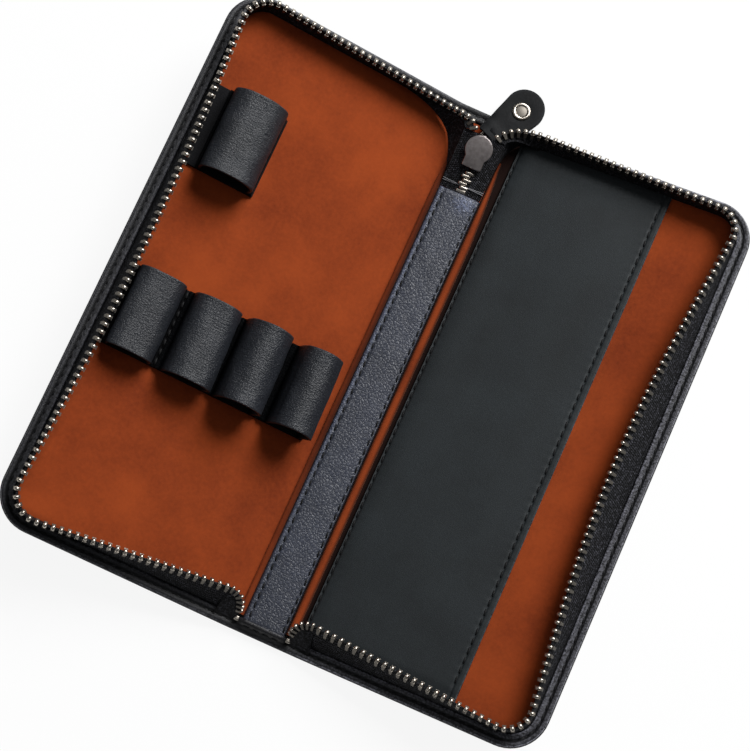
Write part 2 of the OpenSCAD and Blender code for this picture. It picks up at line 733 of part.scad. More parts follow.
module tab_2d() {
  start = eye_r + 0.2;
  polygon([[-tab_foot_w / 2, start], [tab_foot_w / 2, start], [tab_w / 2, tab_reach],
    [-tab_w / 2, tab_reach]]);
  translate([0, tab_reach]) circle(tab_w / 2);
}

// The upper layer runs on over the link's outer bar as a flap
module pull_tab() {
  neck = link_w - link_wire - 2 * bar_play;
  flap_low = eye_r + fit;
  flap_back = 0.8;
  flap_len = 2.3;
  flap_t = 0.75;
  color([0.13, 0.14, 0.15]) on_tab() difference() {
    union() {
      linear_extrude(2 * tab_layer, center = true) tab_2d();
      translate([-tab_foot_w / 2, -flap_back, flap_low])
        cube([tab_foot_w, flap_len, flap_t]);
      rotate([0, 90, 0]) cylinder(h = neck, r = eye_r + tab_layer, center = true);
    }
    rotate([0, 90, 0]) cylinder(h = neck + 1, r = eye_r, center = true);
    translate([0, tab_reach - rivet_back, 0])
      cylinder(h = 4 * tab_layer, r = rivet_post_r, center = true);
  }
}

module pull_rivet() {
  color([0.8, 0.8, 0.78]) on_tab() translate([0, tab_reach - rivet_back, 0]) {
    cylinder(h = 2 * tab_layer, r = rivet_post_r, center = true);
    for (s = [-1, 1]) translate([0, 0, s * (tab_layer + rivet_cap_t / 2)])
      cylinder(h = rivet_cap_t, r = rivet_d / 2, center = true);
  }
}

spine_leather();
spine_board();
spine_lining();
spine_hems();
spine_strip();
strip_stitching();
tucked_tape();
closed_chain();
bottom_stop();
left_cover_leather();
left_cover_board();
left_cover_lining();
left_hem();
left_hem_stitching();
left_zip_tape();
left_zip_teeth();
left_top_stop();
left_fold_leather();
left_fold_lining();
left_tape_ends();
left_end_teeth();
band_base();
eraser_base();
inner_pen_loop();
outer_pen_loop();
pencil_loop();
sharpener_loop();
eraser_loop();
loop_stitching();
right_cover_leather();
right_cover_board();
right_cover_lining();
right_hem();
right_hem_stitching();
right_zip_tape();
right_zip_teeth();
right_top_stop();
right_fold_leather();
right_fold_lining();
right_tape_ends();
right_end_teeth();
pocket_panel();
pocket_stitching();
slider();
pull_link();
pull_tab();
pull_rivet();
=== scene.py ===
import math

import bmesh
import bpy
from bpy.props import FloatProperty, FloatVectorProperty, PointerProperty
from mathutils import Matrix, Vector, noise


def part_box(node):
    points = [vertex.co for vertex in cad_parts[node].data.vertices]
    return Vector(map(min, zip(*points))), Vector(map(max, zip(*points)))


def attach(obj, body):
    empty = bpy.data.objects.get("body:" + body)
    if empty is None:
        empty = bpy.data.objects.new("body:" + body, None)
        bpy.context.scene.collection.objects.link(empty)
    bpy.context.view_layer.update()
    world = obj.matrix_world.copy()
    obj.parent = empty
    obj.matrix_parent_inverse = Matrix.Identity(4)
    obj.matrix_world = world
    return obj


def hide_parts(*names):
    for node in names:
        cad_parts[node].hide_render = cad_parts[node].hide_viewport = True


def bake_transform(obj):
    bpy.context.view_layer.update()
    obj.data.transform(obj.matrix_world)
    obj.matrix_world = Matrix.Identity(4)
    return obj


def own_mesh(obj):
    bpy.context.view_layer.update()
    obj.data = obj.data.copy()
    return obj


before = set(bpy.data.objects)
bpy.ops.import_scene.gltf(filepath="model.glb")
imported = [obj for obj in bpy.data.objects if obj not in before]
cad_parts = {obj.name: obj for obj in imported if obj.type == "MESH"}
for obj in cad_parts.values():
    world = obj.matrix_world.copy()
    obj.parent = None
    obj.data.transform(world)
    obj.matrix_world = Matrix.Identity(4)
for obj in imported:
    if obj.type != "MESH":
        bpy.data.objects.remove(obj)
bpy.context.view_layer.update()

bl_info = {
    "name": "Zip-round pen case",
    "version": (1, 0, 0),
    "blender": (4, 5, 0),
    "location": "View3D > Sidebar > Pen case",
    "description": "Leather, suede, zip and pull of an open pen case",
    "category": "Add Mesh",
}

MM = 0.001
LEFT, RIGHT = -1, 1
COVER = {LEFT: "left_cover", RIGHT: "right_cover"}
PREFIX = {LEFT: "left", RIGHT: "right"}

# Place of a row's first tooth from its wall's start, in pitches, so that the two rows mesh.
ROW_SHIFT = {LEFT: 0.3, RIGHT: 0.8}

# Least distance of a tooth's middle from the end of its wall.
TOOTH_CLEAR = 0.655 * MM

# Where the bending ends of the tapes start and stop, out from the spine's middle.
TAPE_BEND = (6.6 * MM, 15.2 * MM)


# ---- Sizes and colours ----

def length(name, description, millimetres):
    return FloatProperty(
        name=name, description=description, default=millimetres * MM, unit="LENGTH", precision=5
    )


def lengths(name, description, *millimetres):
    return FloatVectorProperty(
        name=name, description=description, size=len(millimetres), unit="LENGTH",
        default=[m * MM for m in millimetres], precision=5,
    )


def angle(name, description, degrees):
    return FloatProperty(
        name=name, description=description, default=math.radians(degrees), subtype="ANGLE"
    )


def colour(name, description, *rgb):
    return FloatVectorProperty(
        name=name, description=description, default=(*rgb, 1), size=4, subtype="COLOR", min=0, max=1
    )


class CaseSizes(bpy.types.PropertyGroup):
    case_len: length("Case length", "Length along the spine", 175)
    cover_w: length("Cover width", "From a fold line to the outer edge", 76.6)
    fold_gap: length("Fold gap", "Distance between the two fold lines", 21.5)
    corner_r: length("Corner radius", "Radius of the covers' outer corners", 12)
    loop_tilt: angle("Loop cover tilt", "Angle of the left cover above the table", 15.8)
    pocket_tilt: angle("Pocket cover tilt", "Angle of the right cover above the table", 12.1)
    bend: length("Bend", "Half the width of leather that bends at a fold", 1.6)
    leather_t: length("Leather", "Thickness of the outer leather", 1.2)
    board_t: length("Board", "Thickness of the stiffening board", 1)
    lining_t: length("Lining", "Thickness of the suede lining", 0.6)
    hem_w: length("Hem width", "Width of the stitched hem", 4.2)
    hem_t: length("Hem thickness", "Thickness of the hem leather", 0.9)
    strip_w: length("Strip width", "Width of the strip along the spine", 13.3)
    strip_t: length("Strip thickness", "Thickness of the strip along the spine", 1.1)
    strip_head: length("Strip head", "From the strip's upper end to the case's end", 27.3)
    roll_r: lengths("Lining rolls", "Radius of the lining's roll at the left and right fold", 0.9, 1.5)
    pocket_start: length("Pocket start", "From the fold line to the pocket's sewn edge", 1.1)
    pocket_w: length("Pocket width", "Width of the pocket panel", 48.8)
    pocket_t: length("Pocket leather", "Thickness of the pocket leather", 0.9)
    pocket_gap: length("Pocket slack", "Gap between the panel and the lining", 0.6)
    loop_t: length("Loop leather", "Thickness of the loop leather", 0.9)
    base_t: length("Base leather", "Thickness of the strips under the loops", 0.9)
    band: lengths("Band", "Lower end of the four loops, and their length", -29, 25)
    eraser_band: lengths("Eraser band", "Lower end of the eraser loop, and its length", 29.5, 26)
    inner_pen: lengths("Inner pen loop", "Start, width and height", 4.2, 11.4, 13)
    outer_pen: lengths("Outer pen loop", "Start, width and height", 20.4, 12.8, 13)
    pencil: lengths("Pencil loop", "Start, width and height", 36.5, 13.8, 8.8)
    sharpener: lengths("Sharpener loop", "Start, width and height", 53.9, 13.8, 7.4)
    eraser: lengths("Eraser loop", "Start, width and height", 49, 16.4, 10.6)
    lean_inner: lengths("Inner pen lean", "How far the loop leans over at its two ends", 1.9, 1.1)
    lean_outer: lengths("Outer pen lean", "How far the loop leans over at its two ends", 1.6, 0.8)
    lean_pencil: lengths("Pencil lean", "How far the loop leans over at its two ends", 1.7, 0.6)
    tape_t: length("Tape", "Thickness of the zip tape", 0.6)
    tape_top: length("Tape height", "Height of the tape's edge above the leather's middle", 8.93)
    tooth_pitch: length("Tooth pitch", "Distance between teeth of one row", 2.4)
    tooth_size: lengths("Tooth", "Length along the row, width and height", 1.4, 1.9, 1.5)
    curl_pitch: length("Curl pitch", "Distance between teeth where a row curls in at the foot", 1.6)
    left_row: lengths("Left row", "Inset at head, corners, side and foot", 5.6, 3.6, 6.4, 10.2)
    right_row: lengths("Right row", "Inset at head, corners, side and foot", 2.7, 4.6, 10.6, 9.9)
    ramp_slope: angle("Ramp slope", "Rise of the zip's tucked-in end", 22)
    ramp_len: length("Ramp length", "Length of the zip's tucked-in end", 18.8)
    ramp_w: length("Ramp width", "Width of the tucked-in tapes together", 13.2)
    slider_len: length("Slider length", "Length of the slider", 10.4)
    slider_head: length("Slider head", "Width of the slider's head", 8.5)
    slider_tail: length("Slider tail", "Width of the slider's tail", 6.2)
    slider_plate: length("Slider plate", "Thickness of a slider plate", 0.8)
    pull_yaw: angle("Pull angle", "Angle of the pull from the spine", 22.6)
    tab_slope: angle("Tab slope", "Downward slope of the leather tab", 3)
    link: lengths("Link", "Length and width between wire middles, and wire thickness", 7, 6, 1.2)
    tab_w: length("Tab width", "Width of the tab's round end", 12.4)
    tab_foot_w: length("Tab foot", "Width of the tab's straight end", 11.2)
    tab_layer: length("Tab leather", "Thickness of one layer of the tab", 1.1)
    tab_reach: length("Tab reach", "From the link's outer bar to the centre of the round end", 12.6)
    rivet_d: length("Rivet cap", "Diameter of the rivet's cap", 5.8)
    rivet_back: length("Rivet place", "From the centre of the round end back to the rivet", 1.5)
    stitch: lengths("Stitch", "Pitch, length and width of a stitch", 3, 2.2, 0.6)


class CaseColours(bpy.types.PropertyGroup):
    black: colour("Black leather", "Outer and hem leather", 0.006, 0.006, 0.007)
    strip: colour("Strip leather", "Pebbled strip on the spine", 0.026, 0.030, 0.045)
    pocket: colour("Pocket leather", "Smooth pocket panel", 0.011, 0.0145, 0.0165)
    tab: colour("Tab leather", "Doubled leather of the pull", 0.0035, 0.0039, 0.0046)
    loops: colour("Loop leather", "Soft loops", 0.013, 0.015, 0.020)
    suede: colour("Suede", "Lining of the case", 0.270, 0.046, 0.0085)
    # This colour, scaled far down, is also the painted shade on the lining.
    suede_dark: colour("Suede shade", "Darker patches of the lining", 0.115, 0.0165, 0.0035)
    tape: colour("Zip tape", "Woven tape", 0.0025, 0.0025, 0.003)
    thread: colour("Thread", "Waxed sewing thread", 0.003, 0.003, 0.0035)
    tack: colour("Tack thread", "Thread across the tucked-in tapes", 0.16, 0.16, 0.17)
    nickel: colour("Nickel", "Teeth, link and rivet", 0.66, 0.60, 0.52)
    gunmetal: colour("Gunmetal", "Slider", 0.43, 0.385, 0.375)
    board: colour("Board", "Stiffening board", 0.035, 0.030, 0.026)
    floor: colour("Floor", "Floor under the case", 0.86, 0.86, 0.86)


def colours():
    return bpy.context.scene.pen_case_colours


# ---- Places that follow from the sizes ----

class Layout:
    """Heights above the leather's middle, insets from the edge and places, in metres."""

    def __init__(self):
        s = self.s = bpy.context.scene.pen_case_sizes
        self.fold = s.fold_gap / 2
        self.half_len = s.case_len / 2
        self.axis_z = s.leather_t / 2
        self.board_h = s.leather_t / 2
        self.floor_h = self.board_h + s.board_t + s.lining_t
        self.base_h = self.floor_h + s.base_t
        self.knee_h = self.floor_h + s.pocket_gap + s.pocket_t + 0.3 * MM
        self.tray_in = s.hem_w + s.tape_t + 0.1 * MM
        self.wall_in = s.hem_w + s.tape_t / 2 + 0.05 * MM
        self.edge = self.fold + s.cover_w
        self.corner_s = self.edge - s.corner_r
        self.corner_y = self.half_len - s.corner_r
        self.tilt = {LEFT: s.loop_tilt, RIGHT: s.pocket_tilt}
        self.lean = {LEFT: list(s.left_row), RIGHT: list(s.right_row)}
        self.roll = {LEFT: s.roll_r[0], RIGHT: s.roll_r[1]}
        self.roll_head = 8.5 * MM
        self.strip_z = self.axis_z + self.floor_h
        self.strip_end = self.half_len - s.strip_head
        self.ramp_foot = Vector((0, self.strip_end + 0.1 * MM, self.strip_z + s.tape_t))
        self.slider_out = s.ramp_len - s.slider_len
        self.head_start = 7 * MM
        self.foot_start = 4.5 * MM
        self.stitch_in = 2.2 * MM
        self.cavity = 1.2 * MM
        self.lug_back = s.slider_len - 5 * MM
        self.lug_drop = self.cavity + s.slider_plate + 1.2 * MM

    def on_case(self, side, s, y, h):
        """Place of a point of the sheets: s out from the spine's middle, h above the leather's middle."""
        tilt, bend = self.tilt[side], self.s.bend
        start = self.fold - bend
        x, z = min(s, start), h
        if s > start:
            turn = min((s - start) / (2 * bend), 1) * tilt
            radius = 2 * bend / tilt
            x += (radius - h) * math.sin(turn)
            z = radius - (radius - h) * math.cos(turn)
            rest = max(s - start - 2 * bend, 0)
            x += rest * math.cos(tilt)
            z += rest * math.sin(tilt)
        return Vector((side * x, y, self.axis_z + z))

    def on_ramp(self, x, v, h):
        """Place on the zip's sloping end: v up along the slope, h square to it."""
        c, t = math.cos(self.s.ramp_slope), math.sin(self.s.ramp_slope)
        return self.ramp_foot + Vector((x, v * c - h * t, v * t + h * c))

    def ramp_tip(self, x):
        return self.on_ramp(x, self.s.ramp_len + 0.1 * MM, 0)

    def lug(self):
        return self.on_ramp(0, self.slider_out + self.lug_back, -self.lug_drop)

    def pull(self):
        """Matrix of the pull's frame, with its origin at the slider's lug."""
        return Matrix.Translation(self.lug()) @ Matrix.Rotation(-self.s.pull_yaw, 4, "Z")

    def tab(self):
        """Matrix of the tab's frame, with its origin at the link's outer bar."""
        out = Matrix.Translation((0, self.s.link[0], 0))
        return self.pull() @ out @ Matrix.Rotation(-self.s.tab_slope, 4, "X")

    def rim(self, k, inset):
        """s, y and the outward direction on a cover at k from 0 to 5, as the zip runs round it."""
        r = self.s.corner_r - inset
        uc, yc = self.corner_s, self.corner_y
        head, foot = self.fold + self.head_start, self.fold + self.foot_start
        if k < 1:
            return head + (uc - head) * k, self.half_len - inset, 0, 1
        if k < 2:
            return corner_point(uc, yc, r, math.pi / 2 * (2 - k))
        if k < 3:
            return self.edge - inset, yc * (5 - 2 * k), 1, 0
        if k < 4:
            return corner_point(uc, -yc, r, -math.pi / 2 * (k - 3))
        return uc - (uc - foot) * (k - 4), inset - self.half_len, 0, -1

    def row_inset(self, k, side):
        """How far in from the edge a row of teeth lies at k."""
        head, corner, long_side, foot = self.lean[side]
        if k < 1:
            return head + (corner - head) * k
        if 2 <= k < 3:
            return corner + (long_side - corner) * math.sin(math.pi * (k - 2))
        if k >= 4:
            return corner + (foot - corner) * (k - 4)
        return corner

    def rim_parts(self, inset):
        """Lengths of the five stretches of a wall: head, corner, side, corner and foot."""
        turn = math.pi / 2 * (self.s.corner_r - inset)
        straight = self.s.cover_w - self.s.corner_r
        return [straight - self.head_start, turn, 2 * self.corner_y, turn, straight - self.foot_start]

    def edge_at(self, distance, inset):
        """A point of the outer edge and its outward direction, at a distance that is measured along
        an inset line from the spine's middle at the head round to its middle at the foot."""
        uc, yc, r = self.corner_s, self.corner_y, self.s.corner_r
        turn = math.pi / 2 * (r - inset)
        if distance < uc:
            return distance, self.half_len, 0, 1
        distance -= uc
        if distance < turn:
            return corner_point(uc, yc, r, math.pi / 2 * (1 - distance / turn))
        distance -= turn
        if distance < 2 * yc:
            return self.edge, yc - distance, 1, 0
        distance -= 2 * yc
        if distance < turn:
            return corner_point(uc, -yc, r, -math.pi / 2 * distance / turn)
        return uc - (distance - turn), -self.half_len, 0, -1

    def edge_length(self, inset):
        return 2 * self.corner_s + math.pi * (self.s.corner_r - inset) + 2 * self.corner_y


def corner_point(x, y, r, a):
    """A point of a corner's arc round x and y, and its outward direction."""
    out_x, out_y = math.cos(a), math.sin(a)
    return x + r * out_x, y + r * out_y, out_x, out_y


def k_at(distance, parts):
    """k at a distance along the parts of a line."""
    for i, part in enumerate(parts):
        if distance < part or i == len(parts) - 1:
            return i + distance / part
        distance -= part


def bezier(p, t):
    return (p[0] * (1 - t) ** 3 + p[1] * (3 * t * (1 - t) ** 2)
            + p[2] * (3 * t * t * (1 - t)) + p[3] * t ** 3)


def heading(p, t):
    """Direction of a curve at t."""
    return bezier(p, min(1, t + 0.03)) - bezier(p, max(0, t - 0.03))


def mm(*v):
    return Vector(v) * MM


def wave(seed, *at):
    """Smooth noise from -1 to 1 at a place in metres."""
    x, y, z = (list(at) + [0, 0])[:3]
    return noise.noise(Vector((x, y, z)) / MM + Vector((seed, 3.1 * seed, -seed)))


def mirrored(v):
    return Vector((-v.x, v.y, v.z))


def clamped(share):
    return min(1, max(0, share))


def eased(share):
    """A clamped share that starts and ends softly."""
    share = clamped(share)
    return share * share * (3 - 2 * share)


def bell(distance, width):
    """1 in the middle, falling away on both sides over a width."""
    return math.exp(-(distance / width) ** 2)


def rounded(share):
    """Height of a round rim, from 0 at its edge to 1 at the end of its width."""
    return max(0, 1 - (1 - min(1, share)) ** 2) ** 0.5


def sewn(x, rows, width):
    """How near a place across a sheet lies to its rows of stitches."""
    return sum(bell(x - row, width) for row in rows)


# ---- Meshes ----

def grid(bm, across, along, place, size=(1, 1)):
    """Adds a grid sheet and puts each point in place by its shares across and along."""
    verts = bmesh.ops.create_grid(bm, x_segments=across, y_segments=along, size=0.5)["verts"]
    uv = bm.loops.layers.uv.verify()
    share = {v: (v.co.x + 0.5, v.co.y + 0.5) for v in verts}
    for face in {f for v in verts for f in v.link_faces}:
        for loop in face.loops:
            p, q = share[loop.vert]
            loop[uv].uv = (p * size[0] / MM, q * size[1] / MM)
    for v in verts:
        v.co = place(*share[v])
    return verts


def sweep(bm, ring, stops, place, size=(1, 1)):
    """Carries a closed ring of points through the stops; place(point, stop) gives a point's place."""
    n, m = len(ring), len(stops) - 1
    verts = grid(bm, n, m, lambda p, q: place(ring[round(p * n) % n], stops[round(q * m)]), size)
    bmesh.ops.remove_doubles(bm, verts=verts, dist=1e-7)


def face_out(bm):
    bmesh.ops.recalc_face_normals(bm, faces=bm.faces)


def close_up(bm):
    """Closes open ends and turns the faces outwards."""
    open_edges = [e for e in bm.edges if e.is_boundary]
    if open_edges:
        bmesh.ops.holes_fill(bm, edges=open_edges, sides=0)
    face_out(bm)


def add_outline(bm, points, low, high):
    """A flat outline of x and y as a plate between two heights."""
    face = bm.faces.new([bm.verts.new((x, y, low)) for x, y in points])
    out = bmesh.ops.extrude_face_region(bm, geom=[face])["geom"]
    bmesh.ops.translate(bm, verts=[v for v in out if isinstance(v, bmesh.types.BMVert)],
                        vec=(0, 0, high - low))
    face_out(bm)


def round_rims(bm, radius, segments=3, choose=lambda e: True):
    """Rounds the edges where faces meet at 40 degrees or more."""
    sharp = [e for e in bm.edges if e.is_manifold and e.calc_face_angle() > 0.7 and choose(e)]
    bmesh.ops.bevel(bm, geom=sharp, offset=radius, offset_type="OFFSET", segments=segments,
                    profile=0.5, material=-1, affect="EDGES", clamp_overlap=True)


def join_part(bm, part):
    """Adds a part's mesh to another and frees the part."""
    spare = bpy.data.meshes.new("spare")
    part.to_mesh(spare)
    part.free()
    bm.from_mesh(spare)
    bpy.data.meshes.remove(spare)


def cut(bm, axis, places):
    """Cuts the mesh square to an axis at the places."""
    normal = Vector((axis == 0, axis == 1, axis == 2))
    for place in places:
        geom = bm.verts[:] + bm.edges[:] + bm.faces[:]
        bmesh.ops.bisect_plane(bm, geom=geom, plane_co=normal * place, plane_no=normal, dist=1e-7)


def steps(low, high, step):
    count = max(1, round((high - low) / step))
    return [low + (high - low) * i / count for i in range(count + 1)]


def plate_uv(bm):
    """Lays out UVs in millimetres from x and y."""
    uv = bm.loops.layers.uv.verify()
    for face in bm.faces:
        for loop in face.loops:
            loop[uv].uv = loop.vert.co.xy / MM


def arc(cx, cy, r, start, end, count):
    """Points of an arc, from one angle to another in degrees."""
    turns = [math.radians(start + (end - start) * i / count) for i in range(count + 1)]
    return [(cx + r * math.cos(a), cy + r * math.sin(a)) for a in turns]


def cover_outline(lay, inset, start):
    """Outline of a cover's sheet in s and y, round at its outer corners."""
    r = lay.s.corner_r - inset
    end_y = lay.half_len - inset
    return ([(start, -end_y)] + arc(lay.corner_s, -lay.corner_y, r, -90, 0, 12)
            + arc(lay.corner_s, lay.corner_y, r, 0, 90, 12) + [(start, end_y)])


def fold_cuts(lay):
    start = lay.fold - lay.s.bend
    return [start + 2 * lay.s.bend * i / 8 for i in range(9)]


def paint(bm, layer, share):
    """Writes share(place) of each point into a layer that the materials read."""
    key = bm.verts.layers.float.new(layer)
    for v in bm.verts:
        v[key] = share(v.co)


def add_object(name, data):
    made = bpy.data.objects.new(name, data)
    bpy.context.scene.collection.objects.link(made)
    return made


def finish_piece(name, bm, slot, body=None, between=None, replaced=(), sharp=50, material=None):
    """Makes the object from the mesh, in the slot's own material by default; parents it to its body's empty
    when it has one, else bakes its transform, and hides the parts it replaces.
    """
    mesh = bpy.data.meshes.new(name)
    bm.to_mesh(mesh)
    bm.free()
    mesh.shade_smooth()
    mesh.set_sharp_from_angle(angle=math.radians(sharp))
    mesh.materials.append(material_of(material or slot))
    piece = add_object(name, mesh)
    if body:
        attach(piece, body)
    else:
        child, start, end = between
        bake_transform(piece)
        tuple(start)
        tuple(end)
    if replaced:
        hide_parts(*replaced)
    return piece


def across_fold(lay, side, before=None, after=None):
    """The stretch in which a sheet bends between the spine and a cover."""
    near, far = lay.fold - (before or lay.s.bend), lay.fold + (after or lay.s.bend)
    return COVER[side], (side * near, 0, 0), (side * far, 0, 0)


def across_tape(side):
    """The stretch in which a tape's end bends between the spine and a cover."""
    near, far = TAPE_BEND
    return COVER[side], (side * near, 0, 0), (side * far, 0, 0)


# ---- Shader helpers ----

def shader_node(tree, kind, inputs=None, **settings):
    """A node with its settings, whose inputs are values or the sockets that feed them."""
    node = tree.nodes.new(kind)
    for key, value in settings.items():
        setattr(node, key, value)
    for key, value in (inputs or {}).items():
        if isinstance(value, bpy.types.NodeSocket):
            tree.links.new(value, node.inputs[key])
        else:
            node.inputs[key].default_value = value
    return node


def math_node(tree, operation, a, b=0.0):
    return shader_node(tree, "ShaderNodeMath", {0: a, 1: b}, operation=operation).outputs[0]


def mix_colour(tree, share, a, b):
    return shader_node(tree, "ShaderNodeMix", {0: share, 6: a, 7: b}, data_type="RGBA").outputs[2]


def map_range(tree, value, low, high, to_low=0.0, to_high=1.0):
    inputs = {"Value": value, "From Min": low, "From Max": high, "To Min": to_low, "To Max": to_high}
    return shader_node(tree, "ShaderNodeMapRange", inputs).outputs[0]


def place_socket(tree, kind="Object"):
    """Coordinates of a point in millimetres, from the object's axes or from its UV map."""
    source = shader_node(tree, "ShaderNodeTexCoord").outputs[kind]
    if kind == "UV":
        return source
    scaled = shader_node(tree, "ShaderNodeVectorMath", {0: source, 3: 1 / MM}, operation="SCALE")
    return scaled.outputs[0]


def noise_socket(tree, at, scale, detail=3.0, rough=0.55):
    inputs = {"Vector": at, "Scale": scale, "Detail": detail, "Roughness": rough}
    return shader_node(tree, "ShaderNodeTexNoise", inputs).outputs["Fac"]


def layer_socket(tree, layer):
    return shader_node(tree, "ShaderNodeAttribute", attribute_name=layer).outputs["Fac"]


def new_group(name, inputs, outputs):
    group = bpy.data.node_groups.new(name, "ShaderNodeTree")
    for key, default in inputs.items():
        socket = group.interface.new_socket(key, in_out="INPUT", socket_type="NodeSocketFloat")
        socket.default_value = default
    for key in outputs:
        group.interface.new_socket(key, in_out="OUTPUT", socket_type="NodeSocketFloat")
    return group, group.nodes.new("NodeGroupInput"), group.nodes.new("NodeGroupOutput")


def leather_grain_group():
    """Pebbles and creases of leather: Height, and a Shade that is low in the creases."""
    tree, given, out = new_group("Leather grain", {"Cell": 1.0, "Pebble": 1.0, "Pore": 1.0},
                                 ["Height", "Shade"])
    at = place_socket(tree)
    bent = noise_socket(tree, at, 0.9, 2.0)
    shift = shader_node(tree, "ShaderNodeVectorMath", {0: at, 1: bent}, operation="ADD")
    frequency = math_node(tree, "DIVIDE", 1.0, given.outputs["Cell"])
    cells = shader_node(tree, "ShaderNodeTexVoronoi", {"Vector": shift.outputs[0], "Scale": frequency},
                        feature="DISTANCE_TO_EDGE")
    pebble = map_range(tree, cells.outputs["Distance"], 0.0, 0.22)
    pores = noise_socket(tree, at, 5.0, 4.0, 0.7)
    height = math_node(tree, "MULTIPLY", pebble, given.outputs["Pebble"])
    pore_height = math_node(tree, "MULTIPLY", pores, given.outputs["Pore"])
    tree.links.new(math_node(tree, "ADD", height, pore_height), out.inputs["Height"])
    tree.links.new(map_range(tree, pebble, 0.0, 1.0, 0.55, 1.0), out.inputs["Shade"])
    return tree


def mottle_group():
    """Slow and fast patches for colour and gloss: Broad and Fine, both from 0 to 1."""
    tree, given, out = new_group("Mottle", {"Broad scale": 0.05, "Fine scale": 1.2}, ["Broad", "Fine"])
    at = place_socket(tree)
    broad = noise_socket(tree, at, given.outputs["Broad scale"], 3.0)
    fine = noise_socket(tree, at, given.outputs["Fine scale"], 4.0, 0.65)
    tree.links.new(map_range(tree, broad, 0.3, 0.7), out.inputs["Broad"])
    tree.links.new(map_range(tree, fine, 0.3, 0.7), out.inputs["Fine"])
    return tree


def weave_group():
    """A coarse twill on the UV map: Height of the yarns and a Shade between them."""
    tree, given, out = new_group("Weave", {"Yarn": 0.55}, ["Height", "Shade"])
    at = place_socket(tree, "UV")
    split = shader_node(tree, "ShaderNodeSeparateXYZ", {0: at})
    rate = math_node(tree, "DIVIDE", math.pi, given.outputs["Yarn"])
    across = math_node(tree, "MULTIPLY", split.outputs[0], rate)
    along = math_node(tree, "MULTIPLY", split.outputs[1], rate)
    slant = math_node(tree, "ADD", along, math_node(tree, "MULTIPLY", across, 0.5))
    warp = math_node(tree, "ABSOLUTE", math_node(tree, "SINE", across))
    weft = math_node(tree, "ABSOLUTE", math_node(tree, "SINE", slant))
    yarns = math_node(tree, "MULTIPLY", math_node(tree, "POWER", warp, 0.6),
                      math_node(tree, "POWER", weft, 0.6))
    fuzz = noise_socket(tree, place_socket(tree), 6.0, 3.0, 0.7)
    tree.links.new(math_node(tree, "ADD", yarns, math_node(tree, "MULTIPLY", fuzz, 0.35)),
                   out.inputs["Height"])
    tree.links.new(map_range(tree, yarns, 0.0, 1.0, 0.25, 1.0), out.inputs["Shade"])
    return tree


def brush_group():
    """Fine scratches along Y with a few broad stains: Height and Stain."""
    tree, given, out = new_group("Brushed metal", {"Stretch": 14.0}, ["Height", "Stain"])
    at = place_socket(tree)
    split = shader_node(tree, "ShaderNodeSeparateXYZ", {0: at})
    long_way = math_node(tree, "DIVIDE", split.outputs[1], given.outputs["Stretch"])
    joined = shader_node(tree, "ShaderNodeCombineXYZ",
                         {0: split.outputs[0], 1: long_way, 2: split.outputs[2]})
    tree.links.new(noise_socket(tree, joined.outputs[0], 9.0, 4.0, 0.7), out.inputs["Height"])
    tree.links.new(map_range(tree, noise_socket(tree, at, 0.8, 3.0), 0.35, 0.7), out.inputs["Stain"])
    return tree


def grouped(tree, group, **values):
    node = shader_node(tree, "ShaderNodeGroup", node_tree=bpy.data.node_groups[group])
    for key, value in values.items():
        node.inputs[key.replace("_", " ")].default_value = value
    return node


def base_material(name, **sockets):
    """A material with its Principled shader, whose plain sockets are set by name."""
    material = bpy.data.materials.new(name)
    material.use_nodes = True
    tree = material.node_tree
    shader = tree.nodes["Principled BSDF"]
    for key, value in sockets.items():
        shader.inputs[key.replace("_", " ")].default_value = value
    return material, tree, shader


def bump(tree, shader, height, distance, strength=1.0):
    inputs = {"Height": height, "Distance": distance * MM, "Strength": strength}
    node = shader_node(tree, "ShaderNodeBump", inputs)
    tree.links.new(node.outputs[0], shader.inputs["Normal"])


def scaled_colour(rgba, factor):
    return [min(1, c * factor) for c in rgba[:3]] + [1]


def leather_material(name, rgba, cell, pebble, pore, depth, rough, rim_highlight=0.0, gloss=0.5, creases=0.0,
                     valley_shade=False):
    """Leather: grain, slow colour changes, a painted highlight in patches on marked rims, fine creases and
    painted shade with little gloss in marked valleys.
    """
    material, tree, shader = base_material(name, Specular_IOR_Level=gloss)
    grain = grouped(tree, "Leather grain", Cell=cell, Pebble=pebble, Pore=pore)
    patches = grouped(tree, "Mottle", Broad_scale=0.06, Fine_scale=1.5)
    body = mix_colour(tree, patches.outputs["Broad"], scaled_colour(rgba, 0.75), scaled_colour(rgba, 1.3))
    body = mix_colour(tree, grain.outputs["Shade"], scaled_colour(rgba, 0.35), body)
    # Painted highlight: marked rims are lightened in patches.
    if rim_highlight:
        spots = map_range(tree, patches.outputs["Fine"], 0.2, 0.8)
        patchy_highlight = math_node(tree, "MULTIPLY", layer_socket(tree, "rim"), spots)
        body = mix_colour(tree, patchy_highlight, body, scaled_colour(rgba, rim_highlight))
    # Painted shade: marked valleys go nearly black and lose their gloss.
    if valley_shade:
        painted_shade = layer_socket(tree, "painted_shade")
        body = mix_colour(tree, painted_shade, body, scaled_colour(rgba, 0.08))
        tree.links.new(map_range(tree, painted_shade, 0, 1, gloss, 0.02), shader.inputs["Specular IOR Level"])
    tree.links.new(body, shader.inputs["Base Color"])
    gloss_change = math_node(tree, "MULTIPLY", patches.outputs["Fine"], 0.12)
    tree.links.new(math_node(tree, "ADD", gloss_change, rough), shader.inputs["Roughness"])
    height = grain.outputs["Height"]
    if creases:
        drawn = shader_node(tree, "ShaderNodeMapping",
                            {"Vector": place_socket(tree), "Scale": (0.3, 1.5, 0.3)})
        lines = noise_socket(tree, drawn.outputs[0], 1.3, 4.0, 0.65)
        height = math_node(tree, "ADD", height, math_node(tree, "MULTIPLY", lines, creases))
    bump(tree, shader, height, depth)
    return material


